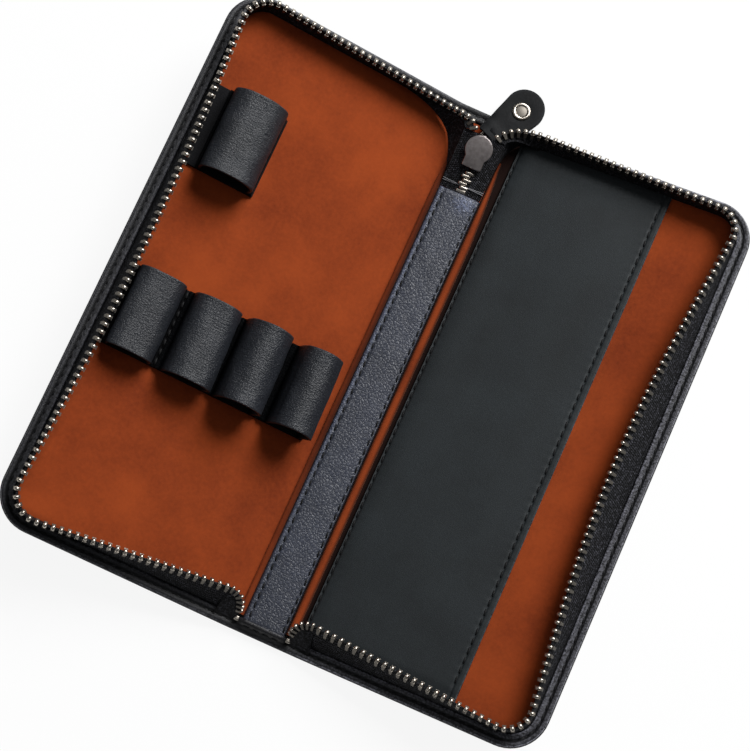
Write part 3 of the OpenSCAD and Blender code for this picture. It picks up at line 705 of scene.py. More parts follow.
def suede_material():
    """Brushed suede: patches, a fine nap and painted shade beside the strip and the roll."""
    c = colours()
    material, tree, shader = base_material("Rust suede", Roughness=0.95, Specular_IOR_Level=0.18,
                                           Sheen_Weight=0.12, Sheen_Roughness=0.45,
                                           Sheen_Tint=(0.85, 0.35, 0.18, 1))
    patches = grouped(tree, "Mottle", Broad_scale=0.045, Fine_scale=0.9)
    body = mix_colour(tree, patches.outputs["Broad"], list(c.suede_dark), list(c.suede))
    nap = noise_socket(tree, place_socket(tree), 7.0, 4.0, 0.75)
    body = mix_colour(tree, map_range(tree, nap, 0.3, 0.7, 0.0, 0.35), body, list(c.suede))
    specks = map_range(tree, patches.outputs["Fine"], 0, 1, 0.0, 0.3)
    body = mix_colour(tree, specks, body, scaled_colour(c.suede, 1.35))
    # Painted shade: the lining goes nearly black beside the strip and between the roll and the pocket.
    body = mix_colour(tree, layer_socket(tree, "painted_shade"), body, scaled_colour(c.suede_dark, 0.05))
    tree.links.new(body, shader.inputs["Base Color"])
    bump(tree, shader, nap, 0.12, 0.8)
    return material


def tape_material():
    """Woven tape with pale specks on the tops of its yarns."""
    c = colours()
    material, tree, shader = base_material("Woven tape", Specular_IOR_Level=0.2)
    weave = grouped(tree, "Weave", Yarn=0.62)
    body = mix_colour(tree, weave.outputs["Shade"], scaled_colour(c.tape, 0.3), scaled_colour(c.tape, 1.8))
    speck = map_range(tree, noise_socket(tree, place_socket(tree), 1.6, 2.0, 0.8), 0.5, 0.68)
    yarn_specks = math_node(tree, "MULTIPLY", speck, weave.outputs["Shade"])
    body = mix_colour(tree, yarn_specks, body, scaled_colour(c.tape, 30))
    tree.links.new(body, shader.inputs["Base Color"])
    tree.links.new(map_range(tree, weave.outputs["Shade"], 0, 1, 0.95, 0.7), shader.inputs["Roughness"])
    bump(tree, shader, weave.outputs["Height"], 0.22)
    return material


def thread_material(name, rgba):
    material, tree, shader = base_material(name, Specular_IOR_Level=0.15)
    twist = noise_socket(tree, place_socket(tree), 5.0, 2.0)
    tree.links.new(mix_colour(tree, twist, scaled_colour(rgba, 0.5), scaled_colour(rgba, 1.6)),
                   shader.inputs["Base Color"])
    tree.links.new(map_range(tree, twist, 0, 1, 0.4, 0.65), shader.inputs["Roughness"])
    bump(tree, shader, twist, 0.08)
    return material


def metal_material(name, rgba, rough, depth, stain, stretch=1.0):
    """Plated metal: scratches, stained patches and darker, rougher parts, with a roughness that follows
    them; on the teeth's legs the darkening is painted shade.
    """
    darkened_colour, dull_rough = 0.22, 0.25
    material, tree, shader = base_material(name, Metallic=1.0)
    brushed = grouped(tree, "Brushed metal", Stretch=stretch)
    darkened = layer_socket(tree, "rim")
    body = mix_colour(tree, brushed.outputs["Stain"], scaled_colour(rgba, stain), rgba)
    # Painted shade on the teeth's legs; a darker middle on the rivet.
    body = mix_colour(tree, darkened, body, scaled_colour(rgba, darkened_colour))
    tree.links.new(body, shader.inputs["Base Color"])
    change = math_node(tree, "MULTIPLY", brushed.outputs["Height"], 0.2)
    change = math_node(tree, "ADD", change, math_node(tree, "MULTIPLY", darkened, dull_rough))
    tree.links.new(math_node(tree, "ADD", change, rough), shader.inputs["Roughness"])
    bump(tree, shader, brushed.outputs["Height"], depth)
    return material


def board_material():
    c = colours()
    material, tree, shader = base_material("Pressed board", Roughness=0.9, Specular_IOR_Level=0.2)
    fibre = noise_socket(tree, place_socket(tree), 1.4, 5.0, 0.7)
    body = mix_colour(tree, fibre, scaled_colour(c.board, 0.7), scaled_colour(c.board, 1.2))
    tree.links.new(body, shader.inputs["Base Color"])
    bump(tree, shader, fibre, 0.1)
    return material


def make_materials():
    """All materials by slot; cells and depths are in millimetres."""
    c = colours()
    for make in (leather_grain_group, mottle_group, weave_group, brush_group):
        make()
    made = {
        "outer_leather": leather_material("Outer leather", c.black, cell=1.0, pebble=0.8, pore=0.35,
                                          depth=0.14, rough=0.36, rim_highlight=3.0),
        "hem_leather": leather_material("Hem leather", c.black, cell=0.8, pebble=0.5, pore=0.4,
                                        depth=0.07, rough=0.42, rim_highlight=60.0, gloss=0.3),
        "strip_leather": leather_material("Strip leather", c.strip, cell=1.0, pebble=0.8, pore=0.3,
                                          depth=0.10, rough=0.40, rim_highlight=5.0),
        "pocket_leather": leather_material("Pocket leather", c.pocket, cell=0.5, pebble=0.25, pore=0.5,
                                           depth=0.05, rough=0.55, rim_highlight=9.0, gloss=0.3),
        "loop_leather": leather_material("Loop leather", c.loops, cell=0.75, pebble=0.4, pore=0.4,
                                         depth=0.16, rough=0.38, creases=1.6, valley_shade=True),
        # Painted shade: the loops' base takes the black colour, darker than the loops, with little gloss.
        "base_leather": leather_material("Base leather", c.black, cell=0.75, pebble=0.4, pore=0.4,
                                         depth=0.10, rough=0.8, gloss=0.1),
        "tab_leather": leather_material("Tab leather", c.tab, cell=0.55, pebble=0.3, pore=0.5,
                                        depth=0.05, rough=0.62, rim_highlight=6.0, gloss=0.16),
        "suede": suede_material(),
        "zip_tape": tape_material(),
        "thread": thread_material("Black thread", c.thread),
        "bar_tack": thread_material("Grey thread", c.tack),
        "zip_teeth": metal_material("Nickel teeth", c.nickel, rough=0.2, depth=0.02, stain=0.55),
        "slider_metal": metal_material("Brushed gunmetal", c.gunmetal, rough=0.34, depth=0.03, stain=0.7,
                                       stretch=14.0),
        "link_metal": metal_material("Nickel wire", c.nickel, rough=0.15, depth=0.01, stain=0.6),
        "rivet_metal": metal_material("Nickel cap", c.nickel, rough=0.16, depth=0.01, stain=0.7),
        "board": board_material(),
    }
    for slot, material in made.items():
        material["slot"] = slot
    return made


def material_of(slot):
    return next(m for m in bpy.data.materials if m.get("slot") == slot)


# ---- Shared small shapes ----

def add_copies(bm, shape, places):
    """Adds a copy of a small mesh at each matrix."""
    for place in places:
        copied = shape.copy()
        bmesh.ops.transform(copied, matrix=place, verts=copied.verts)
        join_part(bm, copied)


def axes_matrix(origin, x, y, z):
    return Matrix.Translation(origin) @ Matrix((x, y, z)).transposed().to_4x4()


def frame_matrix(origin, along, up):
    """x across, y along and z up at an origin."""
    y = along.normalized()
    x = y.cross(up).normalized()
    return axes_matrix(origin, x, y, x.cross(y))


def stitch_shape(s):
    """One stitch: a plump thread that dips into the leather at both ends."""
    _, long_way, wide = s.stitch
    bm = bmesh.new()
    bmesh.ops.create_uvsphere(bm, u_segments=6, v_segments=6, radius=0.5)
    bmesh.ops.rotate(bm, verts=bm.verts, matrix=Matrix.Rotation(math.radians(90), 3, "X"))
    for v in bm.verts:
        x, y, z = v.co * 2
        fat = (1 - abs(y) ** 3) ** 0.5 / max((1 - y * y) ** 0.5, 1e-6) if abs(y) < 0.999 else 1
        v.co = (x * fat * wide / 2, y * long_way / 2, z * fat * wide / 2.6 - 0.1 * MM * y * y)
    return bm


def add_stitches(bm, s, places):
    """Stitches at (point, along, up), each turned a little as a saddler's are."""
    shape = stitch_shape(s)
    slant = Matrix.Rotation(math.radians(6), 4, "Z")
    add_copies(bm, shape, [frame_matrix(p, a, u) @ slant for p, a, u in places])
    shape.free()


def sheet_stitch(lay, side, s, y, h):
    """Point, direction and up of a stitch that runs along the case on a sheet."""
    at = lay.on_case(side, s, y, h)
    return at, Vector((0, 1, 0)), lay.on_case(side, s, y, h + MM) - at


def tooth_shape(s):
    """One tooth: a round bead on the tape's edge and two legs that clamp the tape, painted darker as shade
    and made rougher.
    """
    long_way, wide, high = s.tooth_size
    bm = bmesh.new()
    darkened = bm.verts.layers.float.new("rim")
    bmesh.ops.create_uvsphere(bm, u_segments=10, v_segments=6, radius=0.5)
    for v in bm.verts:
        v.co = (v.co.x * wide, v.co.y * long_way, v.co.z * high + 0.45 * MM)
    for side in (-1, 1):
        leg = bmesh.ops.create_cube(bm, size=1)["verts"]
        for v in leg:
            low = v.co.z < 0
            thick, share = (0.55 * MM, 0.55) if low else (0.75 * MM, 0.8)
            x = side * 0.33 * MM + (v.co.x + side * 0.5) * thick
            v.co = (x, v.co.y * long_way * share, -1.45 * MM if low else 0.4 * MM)
            # The legs are painted darker as shade.
            v[darkened] = 1.0
    return bm


def last_tooth(lay, side):
    """Number of a wall's last tooth, and its distance from the wall's end."""
    total = sum(lay.rim_parts(lay.lean[side][1]))
    pitch = lay.s.tooth_pitch
    number = math.floor((total - TOOTH_CLEAR) / pitch - ROW_SHIFT[side])
    return number, total - (number + ROW_SHIFT[side]) * pitch


def row_places(lay, side):
    """Places of the teeth along a cover's wall."""
    parts = lay.rim_parts(lay.lean[side][1])
    places = []
    for i in range(last_tooth(lay, side)[0] + 1):
        k = k_at((i + ROW_SHIFT[side]) * lay.s.tooth_pitch, parts)
        at, foot = wall_point(lay, side, k), lay.rim(k, lay.wall_in)
        up = at - lay.on_case(side, foot[0], foot[1], lay.knee_h)
        along = wall_point(lay, side, min(k + 0.01, 4.999)) - wall_point(lay, side, max(k - 0.01, 0))
        places.append(frame_matrix(at, along, up))
    return places


def wall_point(lay, side, k):
    """A point of the row's edge of a wall."""
    s, y, _, _ = lay.rim(k, lay.row_inset(k, side))
    return lay.on_case(side, s, y, lay.s.tape_top)


def wall_ends(lay, side, k):
    """The row's edge and the sewn edge of a wall at k; the left wall's are mirrored to the right."""
    s, y, _, _ = lay.rim(k, lay.wall_in)
    ends = wall_point(lay, side, k), lay.on_case(side, s, y, lay.knee_h)
    return [mirrored(v) for v in ends] if side == LEFT else ends


def head_ends(lay, side):
    """Control points of the row's edge and the sewn edge, from the slider to the head's wall."""
    tip, seam_tip = lay.ramp_tip(3.4 * MM), lay.ramp_tip(lay.s.ramp_w / 2)
    e, f = wall_ends(lay, side, 0)
    row = [tip, tip + mm(1.6, 3.6, 0.8), e - mm(6.5, 0.4, 0.9), e]
    seam = [seam_tip, seam_tip + mm(1, 3, 0), f - mm(4, 0.6, -1.6), f]
    return row, seam


def foot_ends(lay, side):
    """The same from the foot's wall down to the spine's lower corner."""
    end = Vector((lay.fold - lay.floor_h - 0.3 * MM, 4.5 * MM - lay.half_len, lay.strip_z + 1.8 * MM))
    e, f = (v + mm(0.5, 0, 0) for v in wall_ends(lay, side, 5))
    row = [e, e - mm(4.6, 0, 0.6), end + mm(-0.4, 2.6, 5.2), end]
    seam = [f, f - mm(1.4, 0, 0.3), end + mm(1.6, -1, 0.2), end + mm(0.9, -1.1, -0.3)]
    return row, seam


def end_places(side, curves, start, margin, pitch):
    """Evenly spaced places of teeth along a bending end of the tape."""
    row, seam = curves
    points = [bezier(row, i / 48) for i in range(49)]
    parts = [(b - a).length for a, b in zip(points, points[1:])]
    reach = sum(parts) - margin - start
    count = round(reach / pitch)
    places = []
    for i in range(count + 1):
        t = k_at(start + i * reach / count, parts) / 48
        at, along = bezier(row, t), heading(row, t)
        up = at - bezier(seam, t)
        if side == LEFT:
            at, along, up = mirrored(at), mirrored(along), mirrored(up)
        places.append(frame_matrix(at, along, up))
    return places


# ---- Pieces: outer leather, hem and thread ----

def make_skin(lay, side):
    """Outer leather from the spine's middle across a fold and its cover, with a round rim."""
    s = lay.s
    bm = bmesh.new()
    add_outline(bm, cover_outline(lay, 0, 0), -s.leather_t / 2, s.leather_t / 2)
    round_rims(bm, 0.5 * MM, 4, lambda e: max(v.co.x for v in e.verts) > 1e-6)
    cut(bm, 0, fold_cuts(lay) + steps(lay.fold + 4 * MM, lay.edge - 2 * MM, 6 * MM))
    cut(bm, 1, steps(-lay.half_len + 2 * MM, lay.half_len - 2 * MM, 6 * MM))
    plate_uv(bm)
    for v in bm.verts:
        outside = v.co.z < 0
        swell = 0.12 * MM * wave(side * 7, v.co.x / 9, v.co.y / 14) if outside and v.co.x > lay.fold else 0
        v.co = lay.on_case(side, v.co.x, v.co.y, v.co.z + swell)
    face_out(bm)
    name = PREFIX[side]
    nodes = [f"{name}_cover_leather", f"{name}_fold_leather"] + (["spine_leather"] if side == LEFT else [])
    finish_piece(f"{name}_outer_leather", bm, "outer_leather", between=across_fold(lay, side),
                 replaced=nodes)


def hem_height(lay, inset, phase):
    """Height of the hem's top: two crests with a sunk seam between them, puckered at the stitches."""
    s = lay.s
    share = abs(2 * inset / s.hem_w - 1)
    dome = max(0, 1 - share ** 6) ** 0.5
    seam = bell(inset - lay.stitch_in, 0.75 * MM)
    groove = bell(inset - lay.stitch_in, 0.35 * MM)
    return (lay.board_h + 0.1 * MM + s.hem_t * dome - 0.22 * MM * seam
            - (0.16 + 0.08 * math.cos(phase)) * MM * groove)


def strip_rise(lay, s, y, inset):
    """How far the hem is lifted where it runs over the strip's lower end."""
    if y > 0:
        return 0
    beside = (lay.s.strip_w / 2 + 2.2 * MM - s) / (3.2 * MM)
    inside = (inset - 0.6 * MM) / (2.6 * MM)
    full = lay.strip_z + lay.s.strip_t - lay.axis_z - lay.board_h - lay.s.hem_t + 0.45 * MM
    return eased(beside) * eased(inside) * full


def make_hem(lay, side):
    """The turned and stitched hem, from the spine's middle at the head round to the foot."""
    s = lay.s
    total = lay.edge_length(lay.stitch_in)
    pitch = total / round(total / s.stitch[0])
    stops = steps(0, total, pitch / 4)
    rim_in = 0.28 * MM
    top = [(inset, True) for inset in steps(rim_in, s.hem_w, 0.22 * MM)]
    ring = top + [(s.hem_w, False), (rim_in, False)]
    bm = bmesh.new()

    def place(point, distance):
        inset, upper = point
        es, ey, ns, ny = lay.edge_at(distance, lay.stitch_in)
        at_s, at_y = es - ns * inset, ey - ny * inset
        height = lay.board_h
        if upper:
            height = (hem_height(lay, inset, 2 * math.pi * distance / pitch)
                      + 0.06 * MM * wave(side * 3, distance / 9) + strip_rise(lay, at_s, at_y, inset))
        return lay.on_case(side, at_s, at_y, height)

    sweep(bm, ring, stops, place, (s.hem_w * 1.4, total))
    close_up(bm)
    # Painted highlight along the hem's crests, stronger on the right.
    paint(bm, "rim", lambda at: hem_highlight(lay, at))
    name = PREFIX[side]
    nodes = [f"{name}_hem"] + (["spine_hems"] if side == LEFT else [])
    finish_piece(f"{name}_hem_band", bm, "hem_leather", between=across_fold(lay, side), replaced=nodes)


def hem_highlight(lay, at):
    """How much painted highlight the hem gets: most on its two crests, some between them, and less on the
    left, where less light falls, and beside the strip.
    """
    outer_crest, inner_crest, crest_w = 0.5 * MM, 3.95 * MM, 0.22 * MM
    side = LEFT if at.x < 0 else RIGHT
    u = (abs(at.x) - lay.fold) / math.cos(lay.tilt[side]) + lay.fold
    du, dy = u - lay.corner_s, abs(at.y) - lay.corner_y
    inset = lay.s.corner_r - (math.hypot(du, dy) if du > 0 and dy > 0 else max(du, dy))
    from_strip = abs(at.x) - lay.s.strip_w / 2
    share = (1.0 if side == RIGHT else 0.35) * min(1, max(0.2, from_strip / (8 * MM)))
    band = 0.22 if MM < inset < 3.8 * MM and abs(inset - lay.stitch_in) > 0.5 * MM else 0
    return share * (bell(inset - outer_crest, crest_w) + band + 0.7 * bell(inset - inner_crest, crest_w))


def hem_stitch_places(lay, side, outside=False):
    """Places of the hem's stitches, on its top or where they show through outside."""
    total = lay.edge_length(lay.stitch_in)
    count = round(total / lay.s.stitch[0])
    places = []
    for i in range(count):
        distance = total * (i + 0.5) / count
        es, ey, ns, ny = lay.edge_at(distance, lay.stitch_in)
        s, y = es - ns * lay.stitch_in, ey - ny * lay.stitch_in
        if outside and s < lay.fold + 3 * MM:
            continue
        h = -lay.s.leather_t / 2 - 0.02 * MM if outside else (
            lay.board_h + lay.s.hem_t - 0.26 * MM + strip_rise(lay, s, y, lay.stitch_in))
        at = lay.on_case(side, s, y, h)
        along = lay.on_case(side, s - ny * MM, y + ns * MM, h) - at
        up = lay.on_case(side, s, y, h + MM) - at
        places.append((at, along, -up if outside else up))
    return places


def make_hem_thread(lay, side):
    bm = bmesh.new()
    add_stitches(bm, lay.s, hem_stitch_places(lay, side) + hem_stitch_places(lay, side, outside=True))
    name = PREFIX[side]
    finish_piece(f"{name}_hem_thread", bm, "thread", between=across_fold(lay, side),
                 replaced=[f"{name}_hem_stitching"])


# ---- Pieces: lining ----

def make_lining(lay, side):
    """Suede sheet of a cover and its fold, with the slack roll beside the strip."""
    s = lay.s
    start = s.strip_w / 2 - 0.3 * MM
    bm = bmesh.new()
    outline = cover_outline(lay, lay.tray_in - 0.05 * MM, start)
    add_outline(bm, outline, lay.floor_h - s.lining_t, lay.floor_h)
    round_rims(bm, 0.2 * MM, 2)
    cut(bm, 0, fold_cuts(lay) + steps(lay.fold + 4 * MM, lay.edge - 6 * MM, 3 * MM))
    cut(bm, 1, steps(-lay.half_len + 7 * MM, lay.half_len - 7 * MM, 3 * MM))
    plate_uv(bm)
    for v in bm.verts:
        ripple = 0.10 * MM * wave(side * 11, v.co.x / 8, v.co.y / 8) if v.co.x > lay.fold + 3 * MM else 0
        top = v.co.z > lay.floor_h - 0.1 * MM
        v.co = lay.on_case(side, v.co.x, v.co.y, v.co.z + (ripple - 0.1 * MM if top else 0))
    add_roll(bm, lay, side)
    face_out(bm)
    # Painted shade beside the strip and, on the right, about the roll.
    paint(bm, "painted_shade", lambda at: lining_shade(lay, side, abs(at.x), at.y))
    name = PREFIX[side]
    finish_piece(f"{name}_suede", bm, "suede", between=across_fold(lay, side, 2.2 * MM, 2.6 * MM),
                 replaced=[f"{name}_cover_lining", f"{name}_fold_lining"])


def roll_radius(lay, side, y):
    """Radius of the lining's roll, which thins out towards the head."""
    to_head = max(0, lay.half_len - lay.tray_in - lay.roll_head - y)
    reach = 14 * MM if side == LEFT else 28 * MM
    return lay.roll[side] * max(0.3, min(1, (to_head / reach) ** 0.5))


def roll_edge(lay, side, y):
    """How far the roll's outer side lies from the strip, since a thin roll keeps to the strip."""
    return 0.05 * MM + 0.4 * lay.roll[side] + 1.6 * roll_radius(lay, side, y)


def lining_shade(lay, side, x, y):
    """How much painted shade the lining gets: on the left beside the strip, weaker towards the foot; on the
    right next to the strip and between the roll and the pocket, with a little on the roll.
    """
    beside = x - lay.s.strip_w / 2
    if side == LEFT:
        fade = min(1, 0.4 + (y + lay.half_len) / (110 * MM))
        return fade * min(0.8, max(0, (2.7 * MM - beside) / (2.7 * MM)))
    if beside > 0.05 * MM + 2 * lay.roll[RIGHT] + 4 * MM:
        return 0
    roll_gap_shade = min(1, (beside - roll_edge(lay, side, y) + 1.1 * MM) / (1.1 * MM))
    return max(0.2, min(1, (0.9 * MM - beside) / (0.5 * MM)), roll_gap_shade)


def add_roll(bm, lay, side):
    """The slack of the lining, rolled up along the strip."""
    low, high = lay.tray_in - lay.half_len, lay.half_len - lay.tray_in - lay.roll_head
    stops = steps(low, high, 1.5 * MM)
    ring = arc(0, 0, 1, 0, 360, 20)[:-1]

    def place(point, y):
        r = roll_radius(lay, side, y)
        middle = lay.s.strip_w / 2 + roll_edge(lay, side, y) - r
        r *= 1 + 0.07 * wave(side * 5, y / 6)
        return lay.on_case(side, middle + r * point[0], y, lay.floor_h - 0.1 * MM + r * point[1])

    sweep(bm, ring, stops, place, (2 * math.pi * roll_radius(lay, side, 0), high - low))
    open_edges = [e for e in bm.edges if e.is_boundary]
    bmesh.ops.holes_fill(bm, edges=open_edges, sides=0)


# ---- Pieces: spine strip ----

def make_strip(lay):
    """Pebbled strip: padded between its two stitch rows, with rolled rims and a painted highlight along its
    left rim and on its upper end.
    """
    s = lay.s
    half = s.strip_w / 2
    low, high = 2.9 * MM - lay.half_len, lay.strip_end
    pitch = (high - low) / round((high - low) / s.stitch[0])
    rows = (-half + 1.75 * MM, half - 0.75 * MM)
    ring = [(x, True) for x in steps(-half, half, 0.3 * MM)] + [(half, False), (-half, False)]
    stops = ([low, low + 0.15 * MM, low + 0.4 * MM] + steps(low + pitch / 2, high - pitch / 2, pitch / 4)
             + [high - 0.5 * MM, high - 0.2 * MM, high])
    bm = bmesh.new()

    def place(point, y):
        x, upper = point
        if not upper:
            return Vector((x, y, lay.strip_z + 0.02 * MM))
        phase = 2 * math.pi * (y - low) / pitch
        rim = max(0, 1 - (abs(x) / half) ** 14) ** 0.5
        end = rounded(max(0, high - y) / (0.6 * MM)) * clamped((y - low) / (0.6 * MM)) ** 0.5
        groove, wide = sewn(x, rows, 0.38 * MM), sewn(x, rows, MM)
        swell = 0.16 * MM * math.cos(math.pi * x / s.strip_w) + 0.12 * MM * wave(4, x / 4, y / 6)
        lift = 0.55 * MM * bell(high - y - 2 * MM, 2.5 * MM) * (0.5 + x / s.strip_w)
        h = s.strip_t + swell + lift - 0.3 * MM * groove - 0.1 * MM * wide * math.cos(phase)
        return Vector((x, y, lay.strip_z + 0.1 * MM + h * rim * end))

    # Painted highlight along the left rim, growing towards the head, and on the upper end.
    def strip_rim_highlight(at):
        edge = bell(abs(at.x) - half + 0.8 * MM, 0.5 * MM) * (at.x < 0)
        end = bell(at.x - 2.5 * MM, 3 * MM) * bell(high - at.y - 3 * MM, 2.5 * MM)
        return min(1, 0.8 * edge * min(1, (at.y - low) / (70 * MM)) + 1.5 * end)

    sweep(bm, ring, stops, place, (s.strip_w, high - low))
    close_up(bm)
    paint(bm, "rim", strip_rim_highlight)
    finish_piece("spine_strip_leather", bm, "strip_leather", body="spine", replaced=["spine_strip"])

    bm = bmesh.new()
    thread_z = lay.strip_z + s.strip_t - 0.02 * MM
    add_stitches(bm, s, [(Vector((row, y, thread_z)), Vector((0, 1, 0)), Vector((0, 0, 1)))
                         for row in rows for y in steps(low + pitch, high - pitch, pitch)])
    finish_piece("strip_thread", bm, "thread", body="spine", replaced=["strip_stitching"])


# ---- Pieces: pocket ----

def make_pocket(lay):
    """The slip pocket's panel, sewn near the fold and at both ends, and its two stitch rows."""
    s = lay.s
    start, end = lay.fold + s.pocket_start - 0.6 * MM, lay.fold + s.pocket_start + s.pocket_w
    half = lay.half_len - lay.tray_in
    rows = (start + 1.0 * MM, end - 2.1 * MM)
    pitch = 2 * half / round(2 * half / s.stitch[0])
    across = ([start, start + 0.12 * MM, start + 0.35 * MM]
              + steps(start + 0.6 * MM, start + 2.2 * MM, 0.2 * MM)
              + steps(start + 3 * MM, end - 4 * MM, 1.9 * MM)
              + steps(end - 3.4 * MM, end - 0.6 * MM, 0.2 * MM)
              + [end - 0.35 * MM, end - 0.12 * MM, end])
    count = len(across) - 1
    stops = steps(-half, half, pitch / 4)
    bm = bmesh.new()

    def slack(x, y):
        """How far the panel stands off the lining, and how far it lies from its sewn ends."""
        ends = clamped((half - abs(y)) / (5 * MM))
        return s.pocket_gap * min(clamped((x - start - 1.2 * MM) / (3 * MM)), ends) ** 0.7, ends

    def height(x, y):
        lift, ends = slack(x, y)
        bulge = 0.35 * MM * math.sin(math.pi * clamped((x - start) / s.pocket_w)) * ends
        rim = rounded(min((x - start) / (0.35 * MM), (end - x) / (0.35 * MM)))
        pucker = 0.08 * MM * sewn(x, rows, 1.2 * MM) * math.cos(2 * math.pi * (y + half) / pitch)
        thick = (s.pocket_t + 0.2 * bulge + 0.25 * MM * wave(9, x / 22, y / 30) * ends
                 - 0.3 * MM * sewn(x, rows, 0.38 * MM) - pucker)
        return lay.floor_h + 0.02 * MM + lift + bulge * 0.8 + thick * rim

    def place_top(p, q):
        x, y = across[round(p * count)], stops[round(q * (len(stops) - 1))]
        return lay.on_case(RIGHT, x, y, height(x, y))

    def place_under(p, q):
        x, y = start + p * s.pocket_w, -half + q * 2 * half
        lift, ends = slack(x, y)
        bulge = 0.28 * MM * math.sin(math.pi * p) * ends
        return lay.on_case(RIGHT, x, y, lay.floor_h + 0.02 * MM + lift + bulge)

    grid(bm, count, len(stops) - 1, place_top, (s.pocket_w, 2 * half))
    grid(bm, 40, len(stops) - 1, place_under, (s.pocket_w, 2 * half))
    rims = [e for e in bm.edges if e.is_boundary and abs(e.verts[0].co.y - e.verts[1].co.y) > 1e-6]
    bmesh.ops.remove_doubles(bm, verts=list({v for e in rims for v in e.verts}), dist=2e-5)
    close_up(bm)
    corner = lay.on_case(RIGHT, end, 0, lay.floor_h)
    axis = (corner - lay.on_case(RIGHT, start, 0, lay.floor_h)).normalized()
    # Painted highlight: a thin light line along the panel's free edge.
    paint(bm, "rim", lambda at: bell(axis.dot(at - corner), 0.14 * MM))
    finish_piece("pocket_leather", bm, "pocket_leather", body="right_cover", replaced=["pocket_panel"])

    bm = bmesh.new()
    add_stitches(bm, s, [sheet_stitch(lay, RIGHT, row, y, height(row, y) + 0.06 * MM) for row in rows
                         for y in steps(-half + 2.5 * pitch, half - 2.5 * pitch, pitch)])
    finish_piece("pocket_thread", bm, "thread", body="right_cover", replaced=["pocket_stitching"])


# ---- Pieces: loops ----

def arch_line(w, h, gaps):
    """Middle line of a loop in u and h: sewn flanges, standing sides and a round crown."""
    r = min(0.46 * w, 0.46 * h)
    toe = 1.1 * MM
    foot = arc(-toe, toe, toe, -90, 0, 5)
    side = [(0, toe + (h - r - toe) * 0.5)] + arc(r, h - r, r, 180, 90, 10)
    half = foot + side
    return [(-gaps[0], 0)] + half + [(w - u, v) for u, v in reversed(half)] + [(w + gaps[1], 0)]


def offset_line(line, distance):
    """The line moved sideways by a distance."""
    moved = []
    for i, (u, v) in enumerate(line):
        before, after = line[max(i - 1, 0)], line[min(i + 1, len(line) - 1)]
        du, dv = after[0] - before[0], after[1] - before[1]
        size = math.hypot(du, dv)
        moved.append((u - dv / size * distance, v + du / size * distance))
    return moved


def refined(line, step):
    """The same line with points no further apart than a step."""
    out = [line[0]]
    for a, b in zip(line, line[1:]):
        count = max(1, math.ceil(math.hypot(b[0] - a[0], b[1] - a[1]) / step))
        out += [(a[0] + (b[0] - a[0]) * i / count, a[1] + (b[1] - a[1]) * i / count)
                for i in range(1, count + 1)]
    return out


def make_loop(lay, name, size, band, gaps, lean, seed):
    """A soft leather loop on its base, creased, a little slack and leaning towards the spine."""
    u0, w, h = size
    t = lay.s.loop_t
    line = refined(arch_line(w - t, h - t / 2, gaps), 0.55 * MM)
    outer, inner = offset_line(line, t / 2), offset_line(line, -t / 2)
    n = len(line)
    ring = [(i, 1) for i in range(n)] + [(i, -1) for i in reversed(range(n))]
    low, long_way = band
    high = low + long_way
    stops = ([low, low + 0.08 * MM, low + 0.25 * MM] + steps(low + 0.6 * MM, high - 0.6 * MM, 0.9 * MM)
             + [high - 0.25 * MM, high - 0.08 * MM, high])
    crown = max(v for u, v in line)
    crown_drop = 0.09 * w
    bm = bmesh.new()

    def place(point, y):
        i, face = point
        edge = min(y - low, high - y)
        thin = 0.55 + 0.45 * min(1, max(0, edge / (0.25 * MM)) ** 0.5)
        mu, mv = line[i]
        pu, pv = outer[i] if face > 0 else inner[i]
        across, lift = 2 * mu / (w - t) - 1, mv / crown
        rise = min(1, lift)
        soft = (0.30 * MM * wave(seed, pu / 5, y / 6, pv / 5)
                + 0.08 * MM * wave(seed + 5, pu / 2.2, y / 2.6, pv / 2.2))
        flare = 0.35 * MM * lift * math.exp(-edge / (2.2 * MM))
        u = mu + (pu - mu) * thin + soft * lift * (pu - mu) / (t / 2) * face * 0.8
        u += 0.45 * MM * math.sin(math.pi * rise) * across
        u -= min(1, 1.6 * lift) * (lean[0] + (lean[1] - lean[0]) * (y - low) / long_way)
        v = mv + (pv - mv) * thin + (soft * 0.8 + flare) * lift - crown_drop * across ** 2 * rise ** 2
        return lay.on_case(LEFT, lay.fold + u0 + t / 2 + u, y, lay.base_h + t / 2 + v)

    sweep(bm, ring, stops, place, (3 * w, long_way))
    close_up(bm)
    foot = lay.on_case(LEFT, lay.fold + u0, 0, lay.base_h)
    up = (lay.on_case(LEFT, lay.fold + u0, 0, lay.base_h + MM) - foot).normalized()
    # Painted shade on the flanges and the lower half of the sides, for the dark gaps between loops.
    paint(bm, "painted_shade", lambda at: clamped((0.5 - up.dot(at - foot) / crown) / 0.35))
    return finish_piece(f"{name}_nappa", bm, "loop_leather", body="left_cover", replaced=[name])


def press_on_strip(lay, loop):
    """Gives the loop beside the strip a mesh of its own; the anchor where it meets the strip is worked out
    but not used.
    """
    near, far = lay.fold + lay.s.inner_pen[0], lay.fold + sum(lay.s.inner_pen[:2])
    anchor = lay.on_case(LEFT, far, 0, lay.base_h)
    anchor - lay.on_case(LEFT, near, 0, lay.base_h)
    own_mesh(loop)


